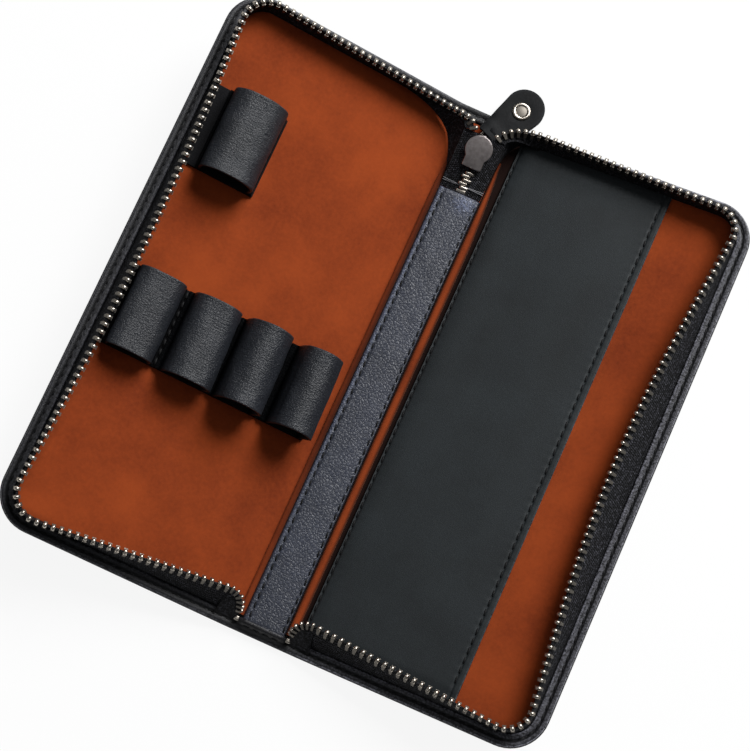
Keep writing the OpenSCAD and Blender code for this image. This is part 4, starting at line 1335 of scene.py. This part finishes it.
def make_base(lay, name, low, long_way, start):
    """A strip of leather under the loops, with rounded rims."""
    end = lay.edge - lay.tray_in - 0.1 * MM
    bm = bmesh.new()
    add_outline(bm, [(start, low), (end, low), (end, low + long_way), (start, low + long_way)],
                lay.floor_h, lay.base_h)
    round_rims(bm, 0.3 * MM, 3)
    cut(bm, 0, steps(start + 2 * MM, end - 2 * MM, 3 * MM))
    cut(bm, 1, steps(low + 2 * MM, low + long_way - 2 * MM, 3 * MM))
    plate_uv(bm)
    for v in bm.verts:
        ripple = 0.08 * MM * wave(21, v.co.x / 4, v.co.y / 4) if v.co.z > lay.floor_h + 0.1 * MM else 0
        v.co = lay.on_case(LEFT, v.co.x, v.co.y, v.co.z + ripple)
    face_out(bm)
    # The base's black material is painted shade for the gaps between the loops.
    finish_piece(f"{name}_nappa", bm, "loop_leather", body="left_cover", replaced=[name],
                 material="base_leather")


# ---- Pieces: zip ----

def make_tape_wall(lay, side):
    """The woven wall that carries a row: upright at its foot, then bowing in to the teeth."""
    s = lay.s
    low, high = lay.board_h, s.tape_top
    half = s.tape_t / 2
    knee = 2.2 * MM
    levels = steps(low, high, 0.85 * MM)
    ring = ([(h, 1) for h in levels] + [(high + 0.25 * MM, 0.5), (high + 0.25 * MM, -0.5)]
            + [(h, -1) for h in reversed(levels)])
    pieces = (36, 10, 78, 10, 36)
    stops = [part + i / count for part, count in enumerate(pieces) for i in range(count)] + [4.9999]
    total = sum(lay.rim_parts(lay.wall_in))
    bm = bmesh.new()

    def place(point, k):
        h, face = point
        lean = clamped((h - knee) / (high - knee)) ** 1.25
        inset = lay.wall_in + (lay.row_inset(k, side) - lay.wall_in) * lean
        bow = 0.14 * MM * wave(side * 2, k * 11, h / 4)
        at = lay.rim(k, inset - face * half + bow)
        return lay.on_case(side, at[0], at[1], h)

    sweep(bm, ring, stops, place, (2 * (high - low) + s.tape_t, total))
    close_up(bm)
    name = PREFIX[side]
    finish_piece(f"{name}_tape", bm, "zip_tape", body=COVER[side], replaced=[f"{name}_zip_tape"])


def make_tape_ends(lay, side):
    """The two ends of a tape that bend as the cover folds."""
    bm = bmesh.new()
    ring = [(i / 8, 1) for i in range(9)] + [(i / 8, -1) for i in reversed(range(9))]
    for at_head, curves, bulge in ((True, head_ends(lay, side), 0.5), (False, foot_ends(lay, side), 0.4)):
        row, seam = curves

        def place(point, t):
            share, face = point
            skirt = 0.5 * (t ** 2 if at_head else max((1 - t) ** 2, 0.7 * t ** 2))
            share = share * (1 + skirt) - skirt
            a, b = bezier(row, t), bezier(seam, t)
            normal = heading(row, t).cross(a - b).normalized()
            crown = bulge * MM * math.sin(math.pi * max(0, share)) * math.sin(math.pi * t)
            at = b.lerp(a, share) - normal * (crown - face * lay.s.tape_t / 2)
            return mirrored(at) if side == LEFT else at

        sweep(bm, ring, [i / 28 for i in range(29)], place, (20 * MM, 16 * MM))
    add_skirt(bm, lay, side)
    close_up(bm)
    name = PREFIX[side]
    finish_piece(f"{name}_tape_bend", bm, "zip_tape", between=across_tape(side),
                 replaced=[f"{name}_tape_ends"])


def add_skirt(bm, lay, side):
    """The tape's spare width beside the slider, which lies down on the lining in a rounded corner. Its dark
    sheet reaches to the wall's foot over lining that lies in shade, so part of it is painted shade.
    """
    _, seam = head_ends(lay, side)
    low = lay.strip_z - lay.axis_z
    edge = lay.s.ramp_w / 2
    if side == LEFT:
        wide, reach, back, wall_k = 1.6 * MM, 8 * MM, 6.8 * MM, 0.2
    else:
        wide, reach, back, wall_k = 0.25 * MM, 14 * MM, 1.5 * MM, 0.05
    end_s, end_y, _, _ = lay.rim(wall_k, lay.wall_in + 0.5 * MM)
    corners = [Vector((edge, lay.strip_end + 2.5 * MM, low)),
               Vector((edge + wide, lay.strip_end + reach, low + 0.6 * MM)),
               Vector((edge + wide / 4, lay.half_len - back, low + 0.9 * MM)),
               Vector((end_s, end_y, low + 0.5 * MM))]

    def inner(q):
        if q < 0.6:
            return lay.on_ramp(edge - 0.1 * MM, q / 0.6 * lay.s.ramp_len, -0.4 * MM)
        return bezier(seam, (q - 0.6) / 0.4)

    def place(point, q):
        share, face = point
        out, high = bezier(corners, q), inner(q)
        out = lay.on_case(side, out.x, out.y, out.z)
        high = mirrored(high) if side == LEFT else high
        return high.lerp(out, share) - mm(0, 0, 0.5) * math.sin(math.pi * share) - mm(0, 0, 0.35) * face

    ring = [(i / 8, 0) for i in range(9)] + [(i / 8, 1) for i in reversed(range(9))]
    part = bmesh.new()
    sweep(part, ring, [i / 40 for i in range(41)], place, (16 * MM, 30 * MM))
    close_up(part)
    join_part(bm, part)


def make_teeth(lay, side):
    """The teeth along a cover's wall, and those on the two bending ends of its tape."""
    shape = tooth_shape(lay.s)
    name = PREFIX[side]
    pitch, gap = lay.s.tooth_pitch, last_tooth(lay, side)[1]
    bm = bmesh.new()
    add_copies(bm, shape, row_places(lay, side))
    face_out(bm)
    finish_piece(f"{name}_teeth", bm, "zip_teeth", body=COVER[side], replaced=[f"{name}_zip_teeth"])

    bm = bmesh.new()
    head_margin = max(TOOTH_CLEAR, (1 - ROW_SHIFT[side]) * pitch)
    add_copies(bm, shape, end_places(side, head_ends(lay, side), 1.0 * MM, head_margin, 0.9 * pitch))
    thin = Matrix.Diagonal((0.85, 0.72, 0.9, 1))
    curl = end_places(side, foot_ends(lay, side), max(TOOTH_CLEAR, pitch - gap), pitch, lay.s.curl_pitch)
    add_copies(bm, shape, [place @ thin for place in curl])
    face_out(bm)
    finish_piece(f"{name}_bend_teeth", bm, "zip_teeth", between=across_tape(side),
                 replaced=[f"{name}_end_teeth"])
    shape.free()


def make_tucked_end(lay):
    """The two tapes that run under the strip, drooping towards their outer edges."""
    s = lay.s
    inner, outer = 0.35 * MM, s.ramp_w / 2
    across = steps(inner, outer, 0.8 * MM)
    ring = [(x, 1) for x in across] + [(x, -1) for x in reversed(across)]
    bm = bmesh.new()
    for side in (LEFT, RIGHT):
        def place(point, v):
            x, face = point
            droop = 0.5 * MM * ((x - inner) / (outer - inner)) ** 2
            return lay.on_ramp(side * x, v, face * s.tape_t / 2 - droop)

        sweep(bm, ring, steps(0, s.ramp_len, 1.2 * MM), place, (s.ramp_w, s.ramp_len))
    close_up(bm)
    finish_piece("tucked_tapes", bm, "zip_tape", body="spine", replaced=["tucked_tape"])


def make_closed_pairs(lay):
    """The closed teeth between the tucked tapes, in turn from the left and from the right."""
    step, first = lay.s.tooth_pitch / 2, 1.3 * MM
    knob = bmesh.new()
    bmesh.ops.create_cube(knob, size=1)
    round_rims(knob, 0.22, 2)
    bm = bmesh.new()
    for i in range(int((lay.slider_out - first) / step)):
        side = RIGHT if i % 2 else LEFT
        part = knob.copy()
        for v in part.verts:
            x, y, z = v.co
            thick = 2.3 * MM * (0.62 if side * x > 0 else 1)
            v.co = lay.on_ramp(side * ((x - 0.5) * 2.9 * MM + 1.05 * MM),
                               first + (i + 0.45) * step + y * step * 0.86, z * thick)
        join_part(bm, part)
    knob.free()
    face_out(bm)
    finish_piece("closed_pairs", bm, "zip_teeth", body="spine", replaced=["closed_chain"])


def make_stops(lay):
    """The bottom stop and the two top stops."""
    bm = bmesh.new()
    bmesh.ops.create_cube(bm, size=1)
    round_rims(bm, 0.18, 2)
    for v in bm.verts:
        v.co = lay.on_ramp(v.co.x * 3.2 * MM, 0.65 * MM + v.co.y * 1.1 * MM, v.co.z * 1.3 * MM)
    finish_piece("bottom_clamp", bm, "zip_teeth", body="spine", replaced=["bottom_stop"])
    for side in (LEFT, RIGHT):
        low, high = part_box(f"{PREFIX[side]}_top_stop")
        bm = bmesh.new()
        bmesh.ops.create_cube(bm, size=1)
        round_rims(bm, 0.2, 2)
        for v in bm.verts:
            v.co = (low + high) / 2 + Vector(0.8 * c * (b - a) for c, a, b in zip(v.co, low, high))
        finish_piece(f"{PREFIX[side]}_top_clamp", bm, "zip_teeth", body="spine",
                     replaced=[f"{PREFIX[side]}_top_stop"])


def make_bar_tack(lay):
    """Two fine threads that hold the tucked tapes just beyond the strip."""
    bm = bmesh.new()
    ring = arc(0, 0, 0.13 * MM, 0, 360, 6)[:-1]
    half = lay.s.ramp_w / 2
    for tilt, rise in ((0.35 * MM, 0.0), (-0.25 * MM, 0.08 * MM)):
        def place(point, x):
            share = x / half
            return lay.on_ramp(x, 2.3 * MM + tilt * share + point[0],
                               0.4 * MM + rise + point[1] - 0.45 * MM * share ** 2)

        sweep(bm, ring, steps(-half, half, 0.8 * MM), place)
    close_up(bm)
    finish_piece("tape_tack", bm, "thread", body="spine", material="bar_tack")


# ---- Pieces: slider and pull ----

def slider_outline(s):
    """The slider's plate: a round head with shoulders and a narrower tail."""
    head, tail = s.slider_head / 2, s.slider_tail / 2
    top = s.slider_len - s.slider_head / 2
    turn = math.degrees(math.asin(tail / head))
    right = [(tail * 0.94, 0), (tail, 0.35 * MM)] + arc(0, top, head, turn - 90, 90, 14)
    return right + [(-x, y) for x, y in reversed(right[:-1])]


def make_slider(lay):
    """Two plates joined by a bridge, with four guide lips and the lug underneath."""
    s = lay.s
    bm = bmesh.new()
    for face in (-1, 1):
        near, far = face * lay.cavity, face * (lay.cavity + s.slider_plate)
        part = bmesh.new()
        add_outline(part, slider_outline(s), min(near, far), max(near, far))
        round_rims(part, 0.26 * MM, 4)
        join_part(bm, part)
    bridge = (1.9 * MM, 2.2 * MM, 2 * lay.cavity + 0.2 * MM)
    add_box(bm, (0, s.slider_len - 2.6 * MM, 0), bridge, 0.3 * MM)
    lip_w, lip_h = 0.55 * MM, lay.cavity - s.tape_t / 2 - 0.15 * MM
    for face in (-1, 1):
        for side in (-1, 1):
            middle = (side * (s.slider_tail / 2 - 0.28 * MM), lay.lug_back / 2 + 0.2 * MM,
                      face * (lay.cavity - lip_h / 2))
            add_box(bm, middle, (lip_w, lay.lug_back, lip_h), 0.12 * MM)
    add_lug(bm, lay)
    for v in bm.verts:
        v.co = lay.on_ramp(v.co.x, v.co.y + lay.slider_out, v.co.z)
    finish_piece("slider_body", bm, "slider_metal", body="slider", replaced=["slider"], sharp=35)


def add_box(bm, middle, size, radius):
    part = bmesh.new()
    bmesh.ops.create_cube(part, size=1)
    bmesh.ops.scale(part, vec=size, verts=part.verts)
    round_rims(part, radius, 3)
    bmesh.ops.translate(part, vec=middle, verts=part.verts)
    join_part(bm, part)


def add_lug(bm, lay):
    """The eye under the slider that the link hangs in."""
    ring = [(r, 2 * x) for r, x in arc(1.5 * MM, 0, 0.42 * MM, 0, 360, 10)[:-1]]

    def place(point, a):
        r, x = point
        return Vector((x, lay.lug_back + r * math.cos(a), -lay.lug_drop + r * math.sin(a)))

    part = bmesh.new()
    sweep(part, ring, [2 * math.pi * i / 28 for i in range(29)], place, (5 * MM, 9 * MM))
    bmesh.ops.remove_doubles(part, verts=part.verts, dist=1e-6)
    face_out(part)
    join_part(bm, part)


def make_link(lay):
    """A wire ring: two bars and two sides with rounded corners."""
    long_way, wide, wire = lay.s.link
    r = 0.9 * MM
    x, y = wide / 2, long_way
    path = (arc(x - r, r, r, -90, 0, 6) + arc(x - r, y - r, r, 0, 90, 6)
            + arc(r - x, y - r, r, 90, 180, 6) + arc(r - x, r, r, 180, 270, 6))
    path = refined(path + [path[0]], 0.8 * MM)
    ring = arc(0, 0, wire / 2, 0, 360, 12)[:-1]
    n = len(path) - 1
    bm = bmesh.new()

    def place(point, i):
        before, after = path[(i - 1) % n], path[(i + 1) % n]
        along = Vector((after[0] - before[0], after[1] - before[1], 0)).normalized()
        side = Vector((along.y, -along.x, 0))
        at = Vector((*path[i % n], 0)) + side * point[0] + Vector((0, 0, point[1]))
        return lay.pull() @ at

    sweep(bm, ring, list(range(n + 1)), place, (4 * MM, 24 * MM))
    bmesh.ops.remove_doubles(bm, verts=bm.verts, dist=1e-6)
    face_out(bm)
    finish_piece("link_wire", bm, "link_metal", body="pull_link", replaced=["pull_link"])


def tab_outline(lay):
    """The tab from its tapered foot behind the link's bar to its round end."""
    s = lay.s
    back, foot, half = -2.4 * MM, s.tab_foot_w / 2, s.tab_w / 2
    right = ([(foot - 0.9 * MM, back), (foot - 0.4 * MM, back + 0.6 * MM), (foot, 5 * MM)]
             + arc(0, s.tab_reach, half, 0, 90, 16))
    return right + [(-x, y) for x, y in reversed(right[:-1])]


def tab_layer(lay, side):
    """A flat layer of the tab, cut fine enough to bend; the lower one starts beside the link's bar."""
    s = lay.s
    near, far = 0.02 * MM * side, s.tab_layer * side
    part = bmesh.new()
    add_outline(part, tab_outline(lay), min(near, far), max(near, far))
    if side < 0:
        start = s.link[2] / 2 + 0.35 * MM
        geom = part.verts[:] + part.edges[:] + part.faces[:]
        bmesh.ops.bisect_plane(part, geom=geom, plane_co=(0, start, 0), plane_no=(0, -1, 0),
                               dist=1e-7, clear_outer=True)
        close_up(part)
    round_rims(part, 0.3 * MM, 4)
    cut(part, 1, steps(-1.9 * MM, s.tab_reach + s.tab_w / 2 - MM, 0.7 * MM))
    cut(part, 0, steps(-s.tab_w / 2 + MM, s.tab_w / 2 - MM, 1.2 * MM))
    return part


def make_tab(lay):
    """Two layers of leather folded round the link and riveted; the upper one runs on as a thin flap."""
    s = lay.s
    bm = bmesh.new()
    for side in (-1, 1):
        part = tab_layer(lay, side)
        dent = s.tab_reach - s.rivet_back
        for v in part.verts:
            if abs(v.co.z) > s.tab_layer * 0.9:
                away = math.hypot(v.co.x, v.co.y - dent)
                v.co.z -= side * 0.28 * MM * math.exp(-(away / (3.6 * MM)) ** 4)
                v.co.z += side * 0.05 * MM * wave(15, v.co.x / 3, v.co.y / 3)
            if side > 0:
                bend_flap(s, v)
            v.co.z -= foot_droop(v.co)
        join_part(bm, part)
    add_eye(bm, lay)
    plate_uv(bm)
    # Painted highlight along the rims of the tab's faces.
    paint(bm, "rim", lambda at: 0.5 if tab_rim(lay, at) else 0)
    bmesh.ops.transform(bm, matrix=lay.tab(), verts=bm.verts)
    finish_piece("tab_leather", bm, "tab_leather", body="pull_tab", replaced=["pull_tab"])


def bend_flap(s, v):
    """Thins the upper layer over the link's bar and lifts it clear, most at its end."""
    low = s.link[2] / 2 + 0.25 * MM + max(0, -v.co.y) * 0.12
    share = v.co.z / s.tab_layer
    v.co.z += eased((3.2 * MM - v.co.y) / (2.4 * MM)) * (low + share * 0.75 * MM - v.co.z)


def foot_droop(at):
    """How far the long edges hang at the link, where the two rows pass over them."""
    return 0.85 * MM * eased((abs(at.x) - 3.9 * MM) / (1.5 * MM)) * eased((6 * MM - at.y) / (4 * MM))


def tab_rim(lay, at):
    """Whether a point lies on an edge of the tab's faces, which gets a painted highlight."""
    away = math.hypot(at.x, max(0, at.y - lay.s.tab_reach))
    return abs(abs(at.z) - lay.s.tab_layer) < 0.25 * MM and away > lay.s.tab_w / 2 - 0.5 * MM


def add_eye(bm, lay):
    """The leather's turn round the link's outer bar."""
    s = lay.s
    bar = s.link[2] / 2 + 0.15 * MM
    neck = (s.link[1] - s.link[2]) / 2 - 0.15 * MM
    inner, outer = bar, bar + s.tab_layer
    ring = [(inner, -neck), (outer - 0.25 * MM, -neck), (outer, 0.25 * MM - neck), (outer, neck - 0.25 * MM),
            (outer - 0.25 * MM, neck), (inner, neck)]

    def place(point, a):
        r, x = point
        return Vector((x, r * math.cos(a), r * math.sin(a)))

    part = bmesh.new()
    opening = math.radians(38)
    turns = [opening + (2 * math.pi - 2 * opening) * i / 24 for i in range(25)]
    sweep(part, ring, turns, place, (8 * MM, 9 * MM))
    close_up(part)
    join_part(bm, part)


def make_rivet(lay):
    """Two ring-shaped caps with a sunk, slightly domed middle that is darker and rougher, on a post."""
    s = lay.s
    r = s.rivet_d / 2 / MM
    profile = [(0, 0.36), (0.8, 0.33), (1.35, 0.24), (1.62, 0.2), (1.78, 0.3), (1.95, 0.48), (2.2, 0.6),
               (2.5, 0.56), (2.75, 0.38), (r, 0.08), (r - 0.12, -0.06), (1.0, -0.06)]
    bm = bmesh.new()
    for side in (-1, 1):
        part = bmesh.new()
        verts = [part.verts.new((x * MM, 0, z * MM)) for x, z in profile]
        edges = [part.edges.new(pair) for pair in zip(verts, verts[1:])]
        bmesh.ops.spin(part, geom=verts + edges, cent=(0, 0, 0), axis=(0, 0, 1), angle=2 * math.pi,
                       steps=40, use_merge=True, dvec=(0, 0, 0))
        bmesh.ops.remove_doubles(part, verts=part.verts, dist=1e-7)
        if side < 0:
            bmesh.ops.scale(part, vec=(1, 1, -1), verts=part.verts)
        bmesh.ops.translate(part, vec=(0, 0, side * (s.tab_layer - 0.12 * MM)), verts=part.verts)
        join_part(bm, part)
    rings = [e for e in bm.edges if e.is_boundary]
    bmesh.ops.bridge_loops(bm, edges=rings)
    face_out(bm)
    paint(bm, "rim", lambda at: 1.0 if math.hypot(at.x, at.y) < 1.7 * MM else 0.0)
    out = lay.tab() @ Matrix.Translation((0, s.tab_reach - s.rivet_back, 0))
    bmesh.ops.transform(bm, matrix=out, verts=bm.verts)
    finish_piece("rivet", bm, "rivet_metal", body="pull_tab", replaced=["pull_rivet"], sharp=35)


# ---- Operators ----

class PENCASE_OT_materials(bpy.types.Operator):
    """Makes the leathers, suede, tape, thread and metals, and dresses the boards and the spine's lining"""
    bl_idname = "pencase.materials"
    bl_label = "Materials"

    def execute(self, context):
        made = make_materials()
        finishes = {"board": made["board"], "lining": made["suede"]}
        for node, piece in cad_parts.items():
            finish = finishes.get(node.split("_")[-1])
            if finish:
                piece.data.materials.clear()
                piece.data.materials.append(finish)
        return {"FINISHED"}


class PENCASE_OT_leather(bpy.types.Operator):
    """Makes the outer leather, the hems and their thread"""
    bl_idname = "pencase.leather"
    bl_label = "Outer leather and hems"

    def execute(self, context):
        lay = Layout()
        for side in (LEFT, RIGHT):
            make_skin(lay, side)
            make_hem(lay, side)
            make_hem_thread(lay, side)
        return {"FINISHED"}


class PENCASE_OT_lining(bpy.types.Operator):
    """Makes the suede lining of both covers"""
    bl_idname = "pencase.lining"
    bl_label = "Lining"

    def execute(self, context):
        lay = Layout()
        for side in (LEFT, RIGHT):
            make_lining(lay, side)
        return {"FINISHED"}


class PENCASE_OT_strip(bpy.types.Operator):
    """Makes the strip along the spine and its thread"""
    bl_idname = "pencase.strip"
    bl_label = "Spine strip"

    def execute(self, context):
        make_strip(Layout())
        return {"FINISHED"}


class PENCASE_OT_pocket(bpy.types.Operator):
    """Makes the slip pocket and its thread"""
    bl_idname = "pencase.pocket"
    bl_label = "Pocket"

    def execute(self, context):
        make_pocket(Layout())
        return {"FINISHED"}


class PENCASE_OT_loops(bpy.types.Operator):
    """Makes the five loops, their bases and their thread"""
    bl_idname = "pencase.loops"
    bl_label = "Loops"

    def execute(self, context):
        lay = Layout()
        s = lay.s
        row = [("inner_pen_loop", s.inner_pen), ("outer_pen_loop", s.outer_pen),
               ("pencil_loop", s.pencil), ("sharpener_loop", s.sharpener)]
        make_base(lay, "band_base", s.band[0], s.band[1], lay.fold + s.inner_pen[0] - 1.8 * MM)
        make_base(lay, "eraser_base", s.eraser_band[0], s.eraser_band[1], lay.fold + s.eraser[0] - 2 * MM)
        gaps = ([1.6 * MM] + [(b[0] - a[0] - a[1]) / 2 - 0.05 * MM for (_, a), (_, b) in zip(row, row[1:])]
                + [1.4 * MM])
        leans = (s.lean_inner, s.lean_outer, s.lean_pencil, (0, 0))
        loops = [make_loop(lay, name, size, s.band, (gaps[i], gaps[i + 1]), leans[i], 31 + 7 * i)
                 for i, (name, size) in enumerate(row)]
        press_on_strip(lay, loops[0])
        make_loop(lay, "eraser_loop", s.eraser, s.eraser_band, (1.8 * MM, 1.4 * MM), (0, 0), 67)
        make_loop_thread(lay, row, gaps)
        return {"FINISHED"}


def make_loop_thread(lay, row, gaps):
    """Stitches through the flanges beside each loop."""
    s = lay.s
    rows = [(s.inner_pen[0] - 0.9 * MM, s.band), (s.eraser[0] - 1.0 * MM, s.eraser_band)]
    rows += [(start + wide + gap, s.band) for (_, (start, wide, _)), gap in zip(row, gaps[1:])]
    margin = 1.8 * MM
    bm = bmesh.new()
    add_stitches(bm, s, [sheet_stitch(lay, LEFT, lay.fold + u, y, lay.base_h + s.loop_t)
                         for u, (low, long_way) in rows
                         for y in steps(low + margin, low + long_way - margin, s.stitch[0])])
    finish_piece("loop_thread", bm, "thread", body="left_cover", replaced=["loop_stitching"])


class PENCASE_OT_zip(bpy.types.Operator):
    """Makes the zip's tapes, teeth and stops"""
    bl_idname = "pencase.zip"
    bl_label = "Zip"

    def execute(self, context):
        lay = Layout()
        for side in (LEFT, RIGHT):
            make_tape_wall(lay, side)
            make_tape_ends(lay, side)
            make_teeth(lay, side)
        make_tucked_end(lay)
        make_closed_pairs(lay)
        make_stops(lay)
        make_bar_tack(lay)
        return {"FINISHED"}


class PENCASE_OT_pull(bpy.types.Operator):
    """Makes the slider, the link, the leather tab and the rivet"""
    bl_idname = "pencase.pull"
    bl_label = "Slider and pull"

    def execute(self, context):
        lay = Layout()
        make_slider(lay)
        make_link(lay)
        make_tab(lay)
        make_rivet(lay)
        return {"FINISHED"}


class PENCASE_OT_stage(bpy.types.Operator):
    """Makes the floor, the lamps, the world and the camera"""
    bl_idname = "pencase.stage"
    bl_label = "Floor, lamps and camera"

    def execute(self, context):
        make_floor()
        camera = make_camera()
        make_lamps(camera)
        make_world()
        context.scene.view_settings.view_transform = "Standard"
        return {"FINISHED"}


def make_floor():
    """A pale floor that looks white to the camera and in the metal, and still takes the shadow."""
    bm = bmesh.new()
    bmesh.ops.create_grid(bm, x_segments=2, y_segments=2, size=1.5)
    bmesh.ops.translate(bm, vec=(0, 0, -0.2 * MM), verts=bm.verts)
    mesh = bpy.data.meshes.new("floor")
    bm.to_mesh(mesh)
    bm.free()
    floor = add_object("floor", mesh)
    material, tree, shader = base_material("Pale floor", Roughness=0.9, Specular_IOR_Level=0.1)
    shader.inputs["Base Color"].default_value = list(colours().floor)
    seen = shader_node(tree, "ShaderNodeLightPath")
    white = shader_node(tree, "ShaderNodeEmission", {"Color": (1, 1, 1, 1), "Strength": 1.0})
    either = math_node(tree, "MAXIMUM", seen.outputs["Is Camera Ray"], seen.outputs["Is Glossy Ray"])
    share = math_node(tree, "MULTIPLY", either, 0.9)
    both = shader_node(tree, "ShaderNodeMixShader",
                       {0: share, 1: shader.outputs[0], 2: white.outputs[0]})
    tree.links.new(both.outputs[0], tree.nodes["Material Output"].inputs["Surface"])
    mesh.materials.append(material)


def make_camera():
    """The camera stands almost overhead, turned so that the spine runs up to the right."""
    target = mm(-0.7394, -1.2498, 0)
    turn, rise, roll = (math.radians(a) for a in (9.4708, 79.4675, 14.7409))
    distance, sensor = 609.784 * MM, 36
    focal_in_pixels, picture_width = 2028.09, 750
    back = Vector((math.sin(turn) * math.cos(rise), -math.cos(turn) * math.cos(rise), math.sin(rise)))
    up = Vector((-math.sin(turn) * math.sin(rise), math.cos(turn) * math.sin(rise), math.cos(rise)))
    right = up.cross(back)
    x = right * math.cos(roll) + up * math.sin(roll)
    y = up * math.cos(roll) - right * math.sin(roll)
    data = bpy.data.cameras.new("camera")
    data.sensor_width = sensor
    data.lens = focal_in_pixels / picture_width * sensor
    data.clip_start, data.clip_end = 0.01, 10
    camera = add_object("camera", data)
    camera.matrix_world = axes_matrix(target + back * distance, x, y, back)
    bpy.context.scene.camera = camera
    return camera


def add_lamp(name, axes, direction, distance, size, power):
    """A square lamp that looks at the case from a direction in the camera's right, up and back."""
    data = bpy.data.lights.new(name, "AREA")
    data.size = size
    data.energy = power
    out = (axes @ Vector(direction)).normalized()
    lamp = add_object(name, data)
    lamp.matrix_world = Matrix.Translation(out * distance) @ out.to_track_quat("Z", "Y").to_matrix().to_4x4()


def make_lamps(camera):
    axes = camera.matrix_world.to_3x3()
    add_lamp("key", axes, direction=(1.1, 1.25, 1.05), distance=1.5, size=0.85, power=36)
    add_lamp("fill", axes, direction=(-0.8, 0.2, 0.9), distance=1.0, size=0.7, power=0.5)
    add_lamp("overhead", axes, direction=(0.1, 0.25, 1.0), distance=1.1, size=0.5, power=0.7)


def make_world():
    world = bpy.data.worlds.new("studio")
    bpy.context.scene.world = world
    world.use_nodes = True
    tree = world.node_tree
    seen = shader_node(tree, "ShaderNodeLightPath")
    lit = tree.nodes["Background"]
    lit.inputs["Color"].default_value = (0.9, 0.95, 1, 1)
    lit.inputs["Strength"].default_value = 0.09
    white = shader_node(tree, "ShaderNodeBackground", {"Color": (1, 1, 1, 1), "Strength": 1.0})
    both = shader_node(tree, "ShaderNodeMixShader",
                       {0: seen.outputs["Is Camera Ray"], 1: lit.outputs[0], 2: white.outputs[0]})
    tree.links.new(both.outputs[0], tree.nodes["World Output"].inputs["Surface"])


STEPS = (PENCASE_OT_materials, PENCASE_OT_leather, PENCASE_OT_lining, PENCASE_OT_strip,
         PENCASE_OT_pocket, PENCASE_OT_loops, PENCASE_OT_zip, PENCASE_OT_pull, PENCASE_OT_stage)


class PENCASE_PT_panel(bpy.types.Panel):
    """Lists the steps that dress the case"""
    bl_idname = "PENCASE_PT_panel"
    bl_label = "Pen case"
    bl_space_type = "VIEW_3D"
    bl_region_type = "UI"
    bl_category = "Pen case"

    def draw(self, context):
        for step in STEPS:
            self.layout.operator(step.bl_idname)
        for group in (context.scene.pen_case_sizes, context.scene.pen_case_colours):
            for key in group.bl_rna.properties.keys():
                if key not in ("rna_type", "name"):
                    self.layout.prop(group, key)


CLASSES = (CaseSizes, CaseColours, *STEPS, PENCASE_PT_panel)


def register():
    for cls in CLASSES:
        bpy.utils.register_class(cls)
    bpy.types.Scene.pen_case_sizes = PointerProperty(type=CaseSizes)
    bpy.types.Scene.pen_case_colours = PointerProperty(type=CaseColours)


def unregister():
    del bpy.types.Scene.pen_case_colours
    del bpy.types.Scene.pen_case_sizes
    for cls in reversed(CLASSES):
        bpy.utils.unregister_class(cls)


def main():
    register()
    for step in STEPS:
        group, name = step.bl_idname.split(".")
        getattr(getattr(bpy.ops, group), name)()


if __name__ == "__main__":
    main()
